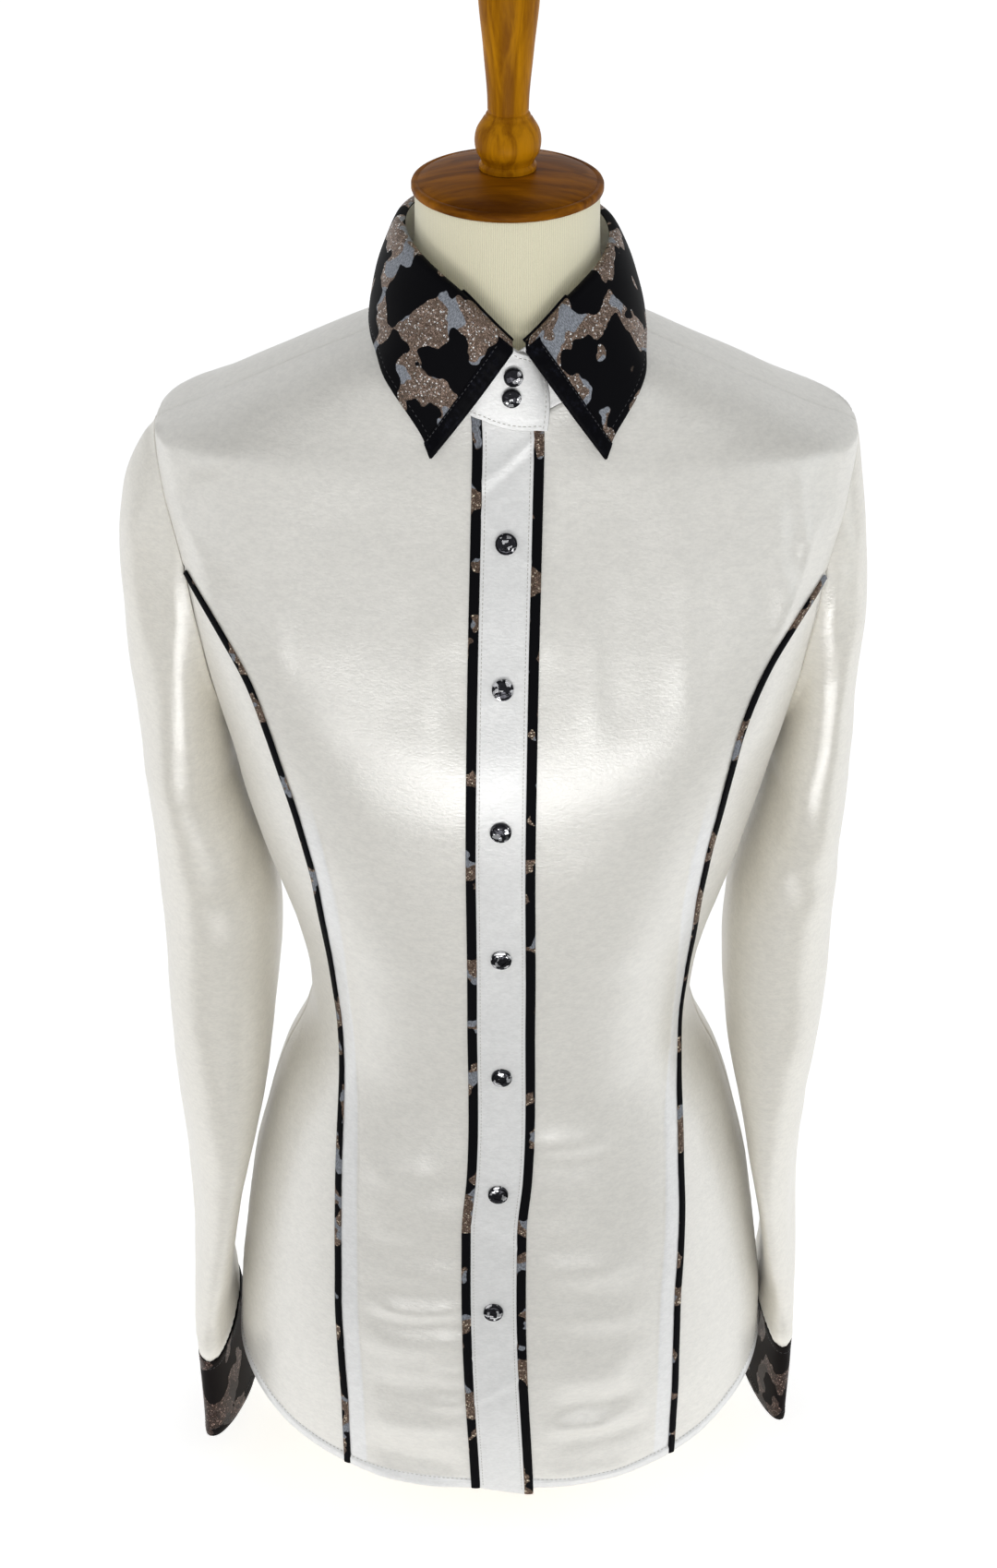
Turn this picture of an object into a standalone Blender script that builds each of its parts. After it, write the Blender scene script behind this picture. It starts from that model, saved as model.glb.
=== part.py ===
# Western snap shirt worn by a limbless dress form.
# Metres, +Z up, the front faces -Y, the foot's underside is at z = 0.
# Sides are named as worn: the wearer's right is at -X.

import math

import bmesh
import bpy
import numpy as np

# Cloth and seams
WALL = 0.0012            # thickness of a body or sleeve panel
TRIM_WALL = 0.0010       # thickness of the placket and the satin bands
COLLAR_WALL = 0.0013     # thickness of the stand, the leaf and the cuffs
GAP = 0.0003             # left between pieces at a seam and under what lies on a panel

# Body of the shirt
SHOULDER_TIP = (0.1865, 0.0, 0.686)
ARMHOLE_DEPTH = 0.174    # from the shoulder tip down to the underarm
ARMHOLE_FRONT = 0.054    # how far the armhole reaches forward
ARMHOLE_BACK = 0.056     # and backward
JUNCTION = 0.36          # share of the armhole depth where the princess seam meets it
HEM_MIDDLE = 0.048
HEM_RISE = 0.032         # the side hem lies this much higher than the middle
NECK_SIDE = 0.7475
NECK_FRONT_DROP = 0.0335
NECK_BACK_RISE = 0.0045

# Placket, piping and snaps
PLACKET_HALF = 0.0130
PLACKET_DROP = 0.0045    # its left edge hangs this much below the hem
PIPING_WIDTH = 0.0042
PIPING_HEIGHT = 0.0019
PRINCESS_PIPING_WIDTH = 0.0044
SNAP_RADIUS = 0.0057
SNAP_HEIGHT = 0.0028
COLLAR_SNAP_RADIUS = 0.0050
SNAP_HEIGHTS = (0.6545, 0.5830, 0.5065, 0.4240, 0.3435, 0.2640, 0.1815)
COLLAR_SNAP_HEIGHTS = (0.7390, 0.7280)

# Collar
ROLL_TURN = math.radians(6.5)        # the collar's front opening sits a little to the wearer's left
EDGE_TURN = math.radians(4.2)        # and its two points less so
ROLL_TILT = 0.0024                   # the roll stands this much higher on the wearer's right
LEAF_START = math.radians(3.4)       # each leaf starts this far from the opening's middle
TIP_ANGLE = math.radians(30.6)       # and its tip lies this much further round
BAND_WIDTH = 0.0085
STAND_OVER = math.radians(21.6)      # the rounded end that laps over, to the wearer's left
STAND_UNDER = math.radians(14.0)     # the under end reaches this far to the wearer's right
STAND_HANG = 0.0085                  # the lapping end hangs this much below the neckline
STAND_LIFT = 0.0028                  # and stands off this much further, over the placket
ROLL_X, ROLL_Y_FRONT, ROLL_Y_BACK = 0.0535, 0.0600, 0.0590

# Cuffs
CUFF_TOP = 0.0850
CUFF_HEIGHT = 0.0600
CUFF_LAP = math.radians(34.0)

# Dress form
CAP_UNDERSIDE = 0.815
CAP_RADIUS = 0.0493
FORM_BOTTOM = 0.0900
FOOT_HALF_X, FOOT_HALF_Y = 0.095, 0.062

# Horizontal sections of the shirt's body: half width, reach to the front and the back, squareness.
RING_COLUMNS = ("height", "half", "front", "back", "square")
RINGS = (
    (0.030, 0.1600, 0.1240, 0.1180, 2.15),
    (0.050, 0.1600, 0.1240, 0.1180, 2.15),
    (0.090, 0.1598, 0.1240, 0.1185, 2.15),
    (0.122, 0.1585, 0.1238, 0.1180, 2.15),
    (0.158, 0.1545, 0.1228, 0.1160, 2.15),
    (0.200, 0.1485, 0.1212, 0.1100, 2.15),
    (0.237, 0.1400, 0.1195, 0.1000, 2.20),
    (0.280, 0.1275, 0.1178, 0.0880, 2.20),
    (0.312, 0.1135, 0.1165, 0.0790, 2.20),
    (0.330, 0.1100, 0.1163, 0.0765, 2.20),
    (0.362, 0.1124, 0.1168, 0.0780, 2.20),
    (0.393, 0.1195, 0.1182, 0.0840, 2.20),
    (0.415, 0.1265, 0.1195, 0.0880, 2.25),
    (0.455, 0.1385, 0.1220, 0.0950, 2.35),
    (0.485, 0.1455, 0.1235, 0.0995, 2.45),
    (0.515, 0.1520, 0.1230, 0.1020, 2.55),
    (0.545, 0.1595, 0.1185, 0.1030, 2.70),
    (0.575, 0.1675, 0.1095, 0.1020, 2.85),
    (0.605, 0.1755, 0.0995, 0.0995, 3.00),
    (0.635, 0.1825, 0.0885, 0.0950, 3.00),
    (0.660, 0.1865, 0.0790, 0.0890, 2.90),
    (0.686, 0.1865, 0.0700, 0.0820, 2.80),
    (0.700, 0.1580, 0.0650, 0.0770, 2.60),
    (0.715, 0.1270, 0.0617, 0.0720, 2.40),
    (0.730, 0.0960, 0.0602, 0.0665, 2.20),
    (0.741, 0.0730, 0.0590, 0.0630, 2.00),
    (0.7475, 0.0625, 0.0580, 0.0605, 2.00),
    (0.756, 0.0570, 0.0565, 0.0580, 2.00),
)

# Distance of each princess seam from the middle, by height.
PRINCESS_COLUMNS = ("height", "right", "left")
PRINCESS = (
    (0.030, 0.0900, 0.1036),
    (0.104, 0.0912, 0.1045),
    (0.160, 0.0928, 0.1042),
    (0.220, 0.0930, 0.1052),
    (0.267, 0.0918, 0.1032),
    (0.312, 0.0900, 0.1008),
    (0.342, 0.0906, 0.1012),
    (0.372, 0.0930, 0.1036),
    (0.405, 0.0958, 0.1058),
    (0.440, 0.0996, 0.1082),
    (0.466, 0.1036, 0.1116),
    (0.495, 0.1105, 0.1162),
    (0.523, 0.1182, 0.1206),
    (0.545, 0.1245, 0.1244),
    (0.576, 0.1352, 0.1338),
    (0.600, 0.1490, 0.1470),
    (0.635, 0.1740, 0.1720),
)

# Sections of a hanging sleeve: outer and inner side, half depth, and how far its front end turns out.
SLEEVE_COLUMNS = ("height", "outer", "inner", "depth", "turn")
SLEEVE = (
    (0.485, 0.1960, 0.1500, 0.0640, 0.0000),
    (0.455, 0.1938, 0.1430, 0.0630, 0.0000),
    (0.425, 0.1924, 0.1350, 0.0615, 0.0000),
    (0.395, 0.1914, 0.1302, 0.0595, 0.0000),
    (0.365, 0.1910, 0.1290, 0.0580, 0.0000),
    (0.335, 0.1904, 0.1300, 0.0570, 0.0000),
    (0.295, 0.1892, 0.1340, 0.0558, -0.0030),
    (0.255, 0.1880, 0.1410, 0.0548, -0.0070),
    (0.215, 0.1868, 0.1500, 0.0538, -0.0100),
    (0.180, 0.1864, 0.1558, 0.0525, -0.0090),
    (0.150, 0.1858, 0.1600, 0.0512, -0.0060),
    (0.120, 0.1844, 0.1622, 0.0500, -0.0010),
    (0.085, 0.1816, 0.1628, 0.0490, 0.0030),
    (0.065, 0.1804, 0.1590, 0.0484, 0.0062),
    (0.045, 0.1792, 0.1540, 0.0480, 0.0090),
    (0.025, 0.1784, 0.1504, 0.0478, 0.0112),
)

# Outer side of the sleeve's head, from the top of the hanging part up to the shoulder tip.
HEAD_COLUMNS = ("height", "outer")
HEAD = (
    (0.485, 0.1960),
    (0.521, 0.1974),
    (0.579, 0.1990),
    (0.635, 0.1983),
    (0.662, 0.1945),
    (0.686, 0.1870),
)

# The wearer's right sleeve hangs this much further out than the mean of the two, the left one nearer.
SWING_COLUMNS = ("height", "out")
SWING = (
    (0.060, 0.0012),
    (0.120, 0.0022),
    (0.200, 0.0034),
    (0.400, 0.0024),
    (0.460, 0.0022),
    (0.520, 0.0045),
    (0.577, 0.0062),
    (0.660, 0.0058),
    (0.686, 0.0000),
)
SWING_SIGN = {"right": 1.0, "left": -1.0}
CUFF_FORWARD = {"right": 0.0060, "left": -0.0125}

# Height of the line along which the leaf turns over, by angle from the opening's middle.
ROLL_COLUMNS = ("angle", "height")
ROLL = (
    (0.0, 0.7509),
    (4.0, 0.7534),
    (11.0, 0.7591),
    (19.0, 0.7661),
    (30.0, 0.7751),
    (44.0, 0.7821),
    (57.0, 0.7865),
    (72.0, 0.7901),
    (90.0, 0.7927),
    (130.0, 0.7944),
    (180.0, 0.7939),
)

# Outer edge of the collar leaf, by angle from the opening: height and stand-off from the shirt.
LEAF_COLUMNS = ("angle", "height", "stand_off")
LEAF_EDGE = (
    (34.0, 0.6945, 0.0038),
    (38.0, 0.7048, 0.0038),
    (43.0, 0.7143, 0.0038),
    (50.5, 0.7254, 0.0038),
    (58.0, 0.7330, 0.0040),
    (75.0, 0.7408, 0.0042),
    (90.0, 0.7432, 0.0045),
    (120.0, 0.7460, 0.0070),
    (150.0, 0.7475, 0.0085),
    (180.0, 0.7480, 0.0090),
)

# How far the form lies inside the shirt, square to its surface, by height.
CLEARANCE_COLUMNS = ("height", "side", "front", "back")
CLEARANCE = (
    (0.050, 0.0055, 0.0055, 0.0055),
    (0.200, 0.0050, 0.0055, 0.0050),
    (0.330, 0.0045, 0.0055, 0.0050),
    (0.450, 0.0050, 0.0050, 0.0060),
    (0.600, 0.0054, 0.0038, 0.0056),
    (0.630, 0.0066, 0.0038, 0.0046),
    (0.660, 0.0110, 0.0040, 0.0042),
    (0.686, 0.0160, 0.0042, 0.0045),
    (0.700, 0.0100, 0.0042, 0.0045),
    (0.715, 0.0056, 0.0042, 0.0045),
    (0.735, 0.0040, 0.0042, 0.0045),
)

# Neck of the form above the shoulders.
NECK_COLUMNS = ("height", "half", "front", "back")
NECK = (
    (0.7475, 0.0580, 0.0530, 0.0560),
    (0.756, 0.0530, 0.0512, 0.0535),
    (0.772, 0.0492, 0.0492, 0.0500),
    (0.792, 0.0478, 0.0478, 0.0480),
    (CAP_UNDERSIDE - GAP, 0.0474, 0.0474, 0.0474),
)

COLOURS = {
    "satin": ((0.93, 0.91, 0.86), 0.35, 0.0),
    "leopard_lame": ((0.16, 0.12, 0.11), 0.45, 0.2),
    "black_satin": ((0.015, 0.014, 0.017), 0.35, 0.0),
    "snap_metal": ((0.12, 0.12, 0.13), 0.2, 1.0),
    "form_jersey": ((0.86, 0.80, 0.68), 0.8, 0.0),
    "cap_wood": ((0.20, 0.075, 0.03), 0.3, 0.0),
    "finial_wood": ((0.42, 0.17, 0.05), 0.3, 0.0),
}

# The whole is moved by this, so that the middle of its box stands at the origin.
CENTRE = (0.0065, 0.0047)


# ---- scene and meshes ----


def clear_scene():
    for obj in list(bpy.data.objects):
        bpy.data.objects.remove(obj, do_unlink=True)


def material(name):
    found = bpy.data.materials.get(name)
    if found:
        return found
    colour, roughness, metallic = COLOURS[name]
    made = bpy.data.materials.new(name)
    made.use_nodes = True
    shader = made.node_tree.nodes["Principled BSDF"]
    shader.inputs["Base Color"].default_value = (*colour, 1.0)
    shader.inputs["Roughness"].default_value = roughness
    shader.inputs["Metallic"].default_value = metallic
    made.diffuse_color = (*colour, 1.0)
    return made


def add_object(name, points, faces, material_name, smooth_angle=40.0):
    mesh = bpy.data.meshes.new(name)
    placed = np.asarray(points, float) + np.array([CENTRE[0], CENTRE[1], 0.0])
    mesh.from_pydata(placed.tolist(), [], faces)
    mesh.validate()
    mesh.materials.append(material(material_name))
    obj = bpy.data.objects.new(name, mesh)
    bpy.context.collection.objects.link(obj)
    face_outward(mesh)
    mesh.shade_smooth()
    mesh.set_sharp_from_angle(angle=math.radians(smooth_angle))
    return obj


def face_outward(mesh):
    work = bmesh.new()
    work.from_mesh(mesh)
    bmesh.ops.recalc_face_normals(work, faces=work.faces)
    if work.calc_volume(signed=True) < 0:
        bmesh.ops.reverse_faces(work, faces=work.faces)
    work.to_mesh(mesh)
    work.free()


def wall_faces(rows, columns, wrap):
    # Two grids of rows x columns points, the outer one first, closed along their open edges.
    count = rows * columns
    faces = []
    spans = columns if wrap else columns - 1
    for r in range(rows - 1):
        for c in range(spans):
            a = r * columns + c
            b = r * columns + (c + 1) % columns
            d = a + columns
            e = b + columns
            faces.append((a, b, e, d))
            faces.append((count + a, count + d, count + e, count + b))
    for r in (0, rows - 1):
        for c in range(spans):
            a = r * columns + c
            b = r * columns + (c + 1) % columns
            faces.append((a, b, count + b, count + a))
    if not wrap:
        for c in (0, columns - 1):
            for r in range(rows - 1):
                a = r * columns + c
                d = a + columns
                faces.append((a, d, count + d, count + a))
    return faces


def add_wall(name, outer, inner, material_name, wrap=False):
    rows, columns = outer.shape[:2]
    points = np.concatenate([outer.reshape(-1, 3), inner.reshape(-1, 3)])
    return add_object(name, points, wall_faces(rows, columns, wrap), material_name)


def add_turned(name, profile, sides, material_name, frame=None, smooth_angle=40.0):
    # A profile of (radius, height) turned about its axis; its first and last radius may be 0.
    points = []
    rings = []
    for radius, height in profile:
        ring = []
        for k in range(1 if radius == 0 else sides):
            angle = 2 * math.pi * k / sides
            ring.append(len(points))
            points.append((radius * math.cos(angle), radius * math.sin(angle), height))
        rings.append(ring)
    faces = []
    for low, high in zip(rings[:-1], rings[1:]):
        for k in range(sides):
            n = (k + 1) % sides
            if len(low) == 1:
                faces.append((low[0], high[n], high[k]))
            elif len(high) == 1:
                faces.append((low[k], low[n], high[0]))
            else:
                faces.append((low[k], low[n], high[n], high[k]))
    for ring, order in ((rings[0], -1), (rings[-1], 1)):
        if len(ring) > 1:
            faces.append(tuple(ring[::order]))
    points = np.array(points, float)
    if frame is not None:
        origin, across, along, up = frame
        points = origin + points @ np.array([across, along, up])
    return add_object(name, points, faces, material_name, smooth_angle)


# ---- reading the tables ----


def smooth_value(xs, ys, x):
    # Cubic through the table's rows, its slope at each row the mean of the two beside it.
    xs = np.asarray(xs, float)
    ys = np.asarray(ys, float)
    x = np.clip(np.asarray(x, float), xs[0], xs[-1])
    steps = np.diff(xs)
    slopes = np.diff(ys) / steps
    middle = (slopes[:-1] * steps[1:] + slopes[1:] * steps[:-1]) / (steps[:-1] + steps[1:])
    middle = np.where(slopes[:-1] * slopes[1:] <= 0, 0.0, middle)
    grade = np.concatenate([[slopes[0]], middle, [slopes[-1]]])
    k = np.clip(np.searchsorted(xs, x, side="right") - 1, 0, len(xs) - 2)
    h = steps[k]
    t = (x - xs[k]) / h
    low = (1 + 2 * t) * (1 - t) ** 2 * ys[k] + t * (1 - t) ** 2 * h * grade[k]
    high = t * t * (3 - 2 * t) * ys[k + 1] + t * t * (t - 1) * h * grade[k + 1]
    return low + high


def read(table, columns, name, x):
    rows = np.array(sorted(table), float)
    return smooth_value(rows[:, 0], rows[:, columns.index(name)], x)


# ---- the surface of the shirt's body ----


def ring_excess(point):
    # Above 0 outside the body's surface, below 0 inside it.
    x, y, z = point[..., 0], point[..., 1], point[..., 2]
    half = read(RINGS, RING_COLUMNS, "half", z)
    front = read(RINGS, RING_COLUMNS, "front", z)
    back = read(RINGS, RING_COLUMNS, "back", z)
    square = read(RINGS, RING_COLUMNS, "square", z)
    reach = np.where(y < 0, front, back)
    total = (np.abs(x) / half) ** square + (np.abs(y) / reach) ** square
    return np.maximum(total, 1e-9) ** (1 / square) - 1


def ring_gradient(point):
    step = 1e-5
    out = np.empty_like(point)
    for axis in range(3):
        ahead = point.copy()
        behind = point.copy()
        ahead[..., axis] += step
        behind[..., axis] -= step
        out[..., axis] = (ring_excess(ahead) - ring_excess(behind)) / (2 * step)
    return out


def unit(vector):
    length = np.linalg.norm(vector, axis=-1, keepdims=True)
    return vector / np.maximum(length, 1e-12)


def body_normal(point):
    return unit(ring_gradient(np.asarray(point, float)))


def onto_body(point):
    point = np.array(point, float)
    for _ in range(12):
        excess = ring_excess(point)[..., None]
        slope = ring_gradient(point)
        step = -excess * slope / np.maximum((slope**2).sum(-1, keepdims=True), 1.0)
        size = np.linalg.norm(step, axis=-1, keepdims=True)
        point = point + step * np.minimum(1.0, 0.02 / np.maximum(size, 1e-9))
    return point


def at_width(x, z, facing=-1):
    # The point of the body's surface at this distance from the middle, in front or at the back.
    half = read(RINGS, RING_COLUMNS, "half", z)
    reach = read(RINGS, RING_COLUMNS, "front" if facing < 0 else "back", z)
    square = read(RINGS, RING_COLUMNS, "square", z)
    left_over = np.maximum(1 - (np.abs(x) / half) ** square, 0.0)
    y = facing * reach * left_over ** (1 / square)
    return np.stack(np.broadcast_arrays(x, y, z), axis=-1)


def at_angle(angle, z):
    # The point of the body's surface seen from the axis at this angle, 0 being straight ahead.
    across, ahead = np.sin(angle), -np.cos(angle)
    point = np.stack(np.broadcast_arrays(across, ahead, z), axis=-1) * np.array([0.05, 0.05, 1.0])
    scale = 1 / (1 + ring_excess(point))[..., None]
    return point * np.concatenate([scale, scale, np.ones_like(scale)], axis=-1)


# ---- seam lines, each an array of points from its lower or inner end ----

SIDE = {"right": -1.0, "left": 1.0}
PRINCESS_ROWS = 14
UPPER_ARMHOLE_ROWS = 5
LOWER_ARMHOLE_ROWS = 5
BACK_ARMHOLE_ROWS = 10
SHOULDER_SPANS = 5
FRONT_NECK_SPANS = 4
CENTRE_COLUMNS = (0.0, 0.0065, PLACKET_HALF, PLACKET_HALF + GAP + PIPING_WIDTH)


def hem_height(x, z_guess=0.06):
    half = read(RINGS, RING_COLUMNS, "half", z_guess)
    return HEM_MIDDLE + HEM_RISE * np.minimum(np.abs(x) / half, 1.0) ** 4


def neck_height(angle):
    ahead = np.cos(angle)
    front = NECK_FRONT_DROP * np.maximum(ahead, 0) ** 3
    back = NECK_BACK_RISE * np.minimum(ahead, 0) ** 2
    return NECK_SIDE - front + back


def neck_point(angle):
    return at_angle(angle, neck_height(np.asarray(angle, float)))


NECK_SHOULDER_ANGLE = math.radians(82.0)
CENTRE_EDGE_ANGLE = math.atan2(CENTRE_COLUMNS[-1], 0.0605)


def armhole(share, facing):
    # share 0 is the shoulder tip, 1 the underarm; facing is -1 in front, 1 at the back.
    share = np.asarray(share, float)
    depth = ARMHOLE_FRONT if facing < 0 else ARMHOLE_BACK
    z = SHOULDER_TIP[2] - share * ARMHOLE_DEPTH
    y = facing * depth * np.sin(math.pi * np.clip(share, 0, 1)) ** 0.55
    half = read(RINGS, RING_COLUMNS, "half", z)
    reach = read(RINGS, RING_COLUMNS, "front" if facing < 0 else "back", z)
    square = read(RINGS, RING_COLUMNS, "square", z)
    x = half * (1 - (np.abs(y) / reach) ** square) ** (1 / square)
    return np.stack([x, y, z], axis=-1)


def spaced(points, spans, growth=1.0):
    # The same curve with this many spans, each longer than the last where growth is above 1.
    length = np.concatenate([[0], np.cumsum(np.linalg.norm(np.diff(points, axis=0), axis=1))])
    wanted = length[-1] * np.linspace(0, 1, spans + 1) ** growth
    return np.stack([np.interp(wanted, length, points[:, k]) for k in range(3)], axis=-1)


# The three parts of the armhole, each from its upper end down.


def armhole_front_upper(spans=UPPER_ARMHOLE_ROWS):
    share = JUNCTION * np.linspace(0, 1, 300) ** 1.6
    return spaced(armhole(share, -1), spans, 1.3)


def armhole_front_lower(spans=LOWER_ARMHOLE_ROWS):
    share = JUNCTION + (1 - JUNCTION) * (1 - (1 - np.linspace(0, 1, 300)) ** 1.6)
    return spaced(armhole(share, -1), spans)


def armhole_back(spans=BACK_ARMHOLE_ROWS):
    share = 0.5 - 0.5 * np.cos(math.pi * np.linspace(0, 1, 500))
    return spaced(armhole(share, 1), spans, 1.35)


def mirror(points, side):
    return points * np.array([SIDE[side], 1.0, 1.0])


def princess_seam(side):
    # From the hem up to the armhole, for x > 0.
    top = armhole(JUNCTION, -1)
    low_x = read(PRINCESS, PRINCESS_COLUMNS, side, 0.055)
    z = np.linspace(float(hem_height(low_x)), top[2], PRINCESS_ROWS + 1)
    x = read(PRINCESS, PRINCESS_COLUMNS, side, z)
    reach_top = read(PRINCESS, PRINCESS_COLUMNS, side, top[2])
    ease = np.clip((z - 0.54) / (top[2] - 0.54), 0, 1) ** 1.5
    x = x + (top[0] - reach_top) * ease
    points = at_width(x, z)
    points[-1] = top
    return points


def side_seam():
    z = np.linspace(HEM_MIDDLE + HEM_RISE, SHOULDER_TIP[2] - ARMHOLE_DEPTH, PRINCESS_ROWS + 1)
    half = read(RINGS, RING_COLUMNS, "half", z)
    return np.stack([half, np.zeros_like(z), z], axis=-1)


def on_ridge(x, y):
    # The height at which the shoulder passes this x and y.
    low = np.full(np.shape(x), 0.680)
    high = np.full(np.shape(x), 0.7550)
    for _ in range(40):
        z = (low + high) / 2
        outside = ring_excess(np.stack([x, y, z], axis=-1)) > 0
        high = np.where(outside, z, high)
        low = np.where(outside, low, z)
    return np.stack([x, y, (low + high) / 2], axis=-1)


def shoulder_seam():
    # From the shoulder tip to the neck, a little in front of the ridge by the neck.
    neck = neck_point(NECK_SHOULDER_ANGLE)
    share = np.linspace(0, 1, SHOULDER_SPANS + 1)
    x = SHOULDER_TIP[0] + (neck[0] - SHOULDER_TIP[0]) * share
    y = neck[1] * share
    points = on_ridge(x, y)
    points[0] = SHOULDER_TIP
    points[-1] = neck
    return points


def front_neck():
    angle = np.linspace(NECK_SHOULDER_ANGLE, CENTRE_EDGE_ANGLE, FRONT_NECK_SPANS + 1)
    return neck_point(angle)


def hem_line(x_from, x_to, spans, facing=-1):
    x = np.linspace(x_from, x_to, spans + 1)
    return at_width(x, hem_height(x), facing)


# ---- panels ----


def add_column(grid, edge_at, distance):
    # A column of points on the surface, this far from the grid's first or last column.
    edge, beside = (grid[:, 0], grid[:, 1]) if edge_at == 0 else (grid[:, -1], grid[:, -2])
    along = unit(np.gradient(edge, axis=0))
    towards = beside - edge
    across = towards - (towards * along).sum(-1, keepdims=True) * along
    share = distance / np.linalg.norm(across, axis=-1, keepdims=True)
    point = edge + towards * np.minimum(share, 0.6)
    point[1:-1] = onto_body(point[1:-1])
    return np.insert(grid, 1 if edge_at == 0 else grid.shape[1] - 1, point, axis=1)


def patch(bottom, top, left, right, settle, smoothing):
    # A grid of points on the surface between four seams: rows from bottom to top, columns from left
    # to right. The higher settle is, the less far the bottom's and the top's own shapes reach in.
    rows, columns = len(left), len(bottom)
    v = np.linspace(0, 1, rows)[:, None, None]
    u = np.linspace(0, 1, columns)[None, :, None]
    grid = (1 - u) * left[:, None] + u * right[:, None]
    at_bottom = bottom - ((1 - u[0]) * left[0] + u[0] * right[0])
    at_top = top - ((1 - u[0]) * left[-1] + u[0] * right[-1])
    grid = grid + (1 - v) ** settle * at_bottom[None] + v**settle * at_top[None]
    grid[1:-1, 1:-1] = onto_body(grid[1:-1, 1:-1])
    for _ in range(smoothing):
        mean = (grid[:-2, 1:-1] + grid[2:, 1:-1] + grid[1:-1, :-2] + grid[1:-1, 2:]) / 4
        grid[1:-1, 1:-1] += 0.25 * (mean - grid[1:-1, 1:-1])
    grid[1:-1, 1:-1] = onto_body(grid[1:-1, 1:-1])
    return grid


def pull_in(line, inner_line, amount):
    # The line moved towards its neighbour, square to itself.
    along = np.gradient(line, axis=0)
    along = unit(along)
    towards = inner_line - line
    towards = towards - (towards * along).sum(-1, keepdims=True) * along
    return line + amount * unit(towards)


def seam_gaps(grid, sides):
    out = grid.copy()
    half = GAP / 2
    if "bottom" in sides:
        out[0] = pull_in(out[0], out[1], half)
    if "top" in sides:
        out[-1] = pull_in(out[-1], out[-2], half)
    if "left" in sides:
        out[:, 0] = pull_in(out[:, 0], out[:, 1], half)
    if "right" in sides:
        out[:, -1] = pull_in(out[:, -1], out[:, -2], half)
    return out


def add_panel(name, grid, sides, material_name="satin"):
    grid = seam_gaps(grid, sides)
    normal = body_normal(grid)
    return add_wall(name, grid, grid - WALL * normal, material_name)


def centre_column(x):
    # Points up the front at this distance from the middle, from the hem to the neck.
    share = centre_shares()
    low = hem_height(x)
    high = neck_height(math.atan2(x, 0.0605))
    return at_width(np.full_like(share, x), low + share * (high - low))


def centre_shares():
    seam = np.concatenate([princess_seam("right")[:, 2], armhole_front_upper()[::-1][1:, 2]])
    share = (seam - seam[0]) / (seam[-1] - seam[0])
    return 0.35 * share + 0.65 * np.linspace(0, 1, len(share))


def front_grid(side):
    outer = np.concatenate([princess_seam(side), armhole_front_upper()[::-1][1:]])
    inner = centre_column(CENTRE_COLUMNS[-1])
    shoulder = shoulder_seam()
    top = np.concatenate([shoulder, front_neck()[1:]])
    top[-1] = inner[-1]
    spans = len(top) - 1
    bottom = hem_line(outer[0][0], CENTRE_COLUMNS[-1], spans)
    grid = add_column(patch(bottom, top, outer, inner, 1.6, 6), 0, PRINCESS_PIPING_WIDTH / 2)
    strip = np.stack([centre_column(x) for x in CENTRE_COLUMNS[-2::-1]], axis=1)
    return mirror(np.concatenate([grid, strip], axis=1), side)


def side_front_grid(side):
    inner = princess_seam(side)
    outer = side_seam()
    top = armhole_front_lower()[::-1]
    bottom = hem_line(outer[0][0], inner[0][0], LOWER_ARMHOLE_ROWS)
    bottom[0] = outer[0]
    grid = patch(bottom, top, outer, inner, 3.0, 0)
    return mirror(add_column(grid, -1, PRINCESS_PIPING_WIDTH / 2), side)


def back_grid():
    half_edge = np.concatenate([side_seam(), armhole_back()[::-1][1:]])
    shoulder = shoulder_seam()
    angle = np.linspace(NECK_SHOULDER_ANGLE, math.pi, FRONT_NECK_SPANS + 2)
    half_top = np.concatenate([shoulder, neck_point(angle)[1:]])
    spans = len(half_top) - 1
    half = half_edge[0][0]
    width = half * np.sin(np.linspace(math.pi / 2, 0, spans + 1))
    half_bottom = at_width(width, hem_height(width), 1)
    half_bottom[0] = half_edge[0]

    def whole(points):
        return np.concatenate([mirror(points, "right"), mirror(points, "left")[::-1][1:]])

    return patch(whole(half_bottom), whole(half_top), mirror(half_edge, "right"), half_edge, 1.0, 6)


def add_body_panels():
    for side in SIDE:
        add_panel("front_" + side, front_grid(side), ("left", "right", "top"))
        add_panel("side_front_" + side, side_front_grid(side), ("left", "right", "top"))
    add_panel("back", back_grid(), ("left", "right", "top"))


# ---- sleeves and cuffs ----


def swing(side, z):
    return SWING_SIGN[side] * read(SWING, SWING_COLUMNS, "out", z)


def sleeve_section(side, z, turns):
    # One horizontal section; turns 0 is its outer side, 0.25 its front, 0.5 its inner side.
    outer = read(SLEEVE, SLEEVE_COLUMNS, "outer", z) + swing(side, z)
    inner = read(SLEEVE, SLEEVE_COLUMNS, "inner", z)
    depth = read(SLEEVE, SLEEVE_COLUMNS, "depth", z)
    turn = read(SLEEVE, SLEEVE_COLUMNS, "turn", z)
    middle = (outer + inner) / 2
    half = np.sqrt(((outer - inner) / 2) ** 2 - turn**2)
    forward = CUFF_FORWARD[side] * np.clip((0.5 - z) / 0.42, 0, 1) ** 1.5
    angle = 2 * math.pi * np.asarray(turns, float)
    across = np.sign(np.cos(angle)) * np.abs(np.cos(angle)) ** 0.9
    x = middle + half * across + turn * np.sin(angle)
    y = -depth * np.sign(np.sin(angle)) * np.abs(np.sin(angle)) ** 0.86 - forward
    return np.stack(np.broadcast_arrays(x, y, z), axis=-1)


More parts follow.
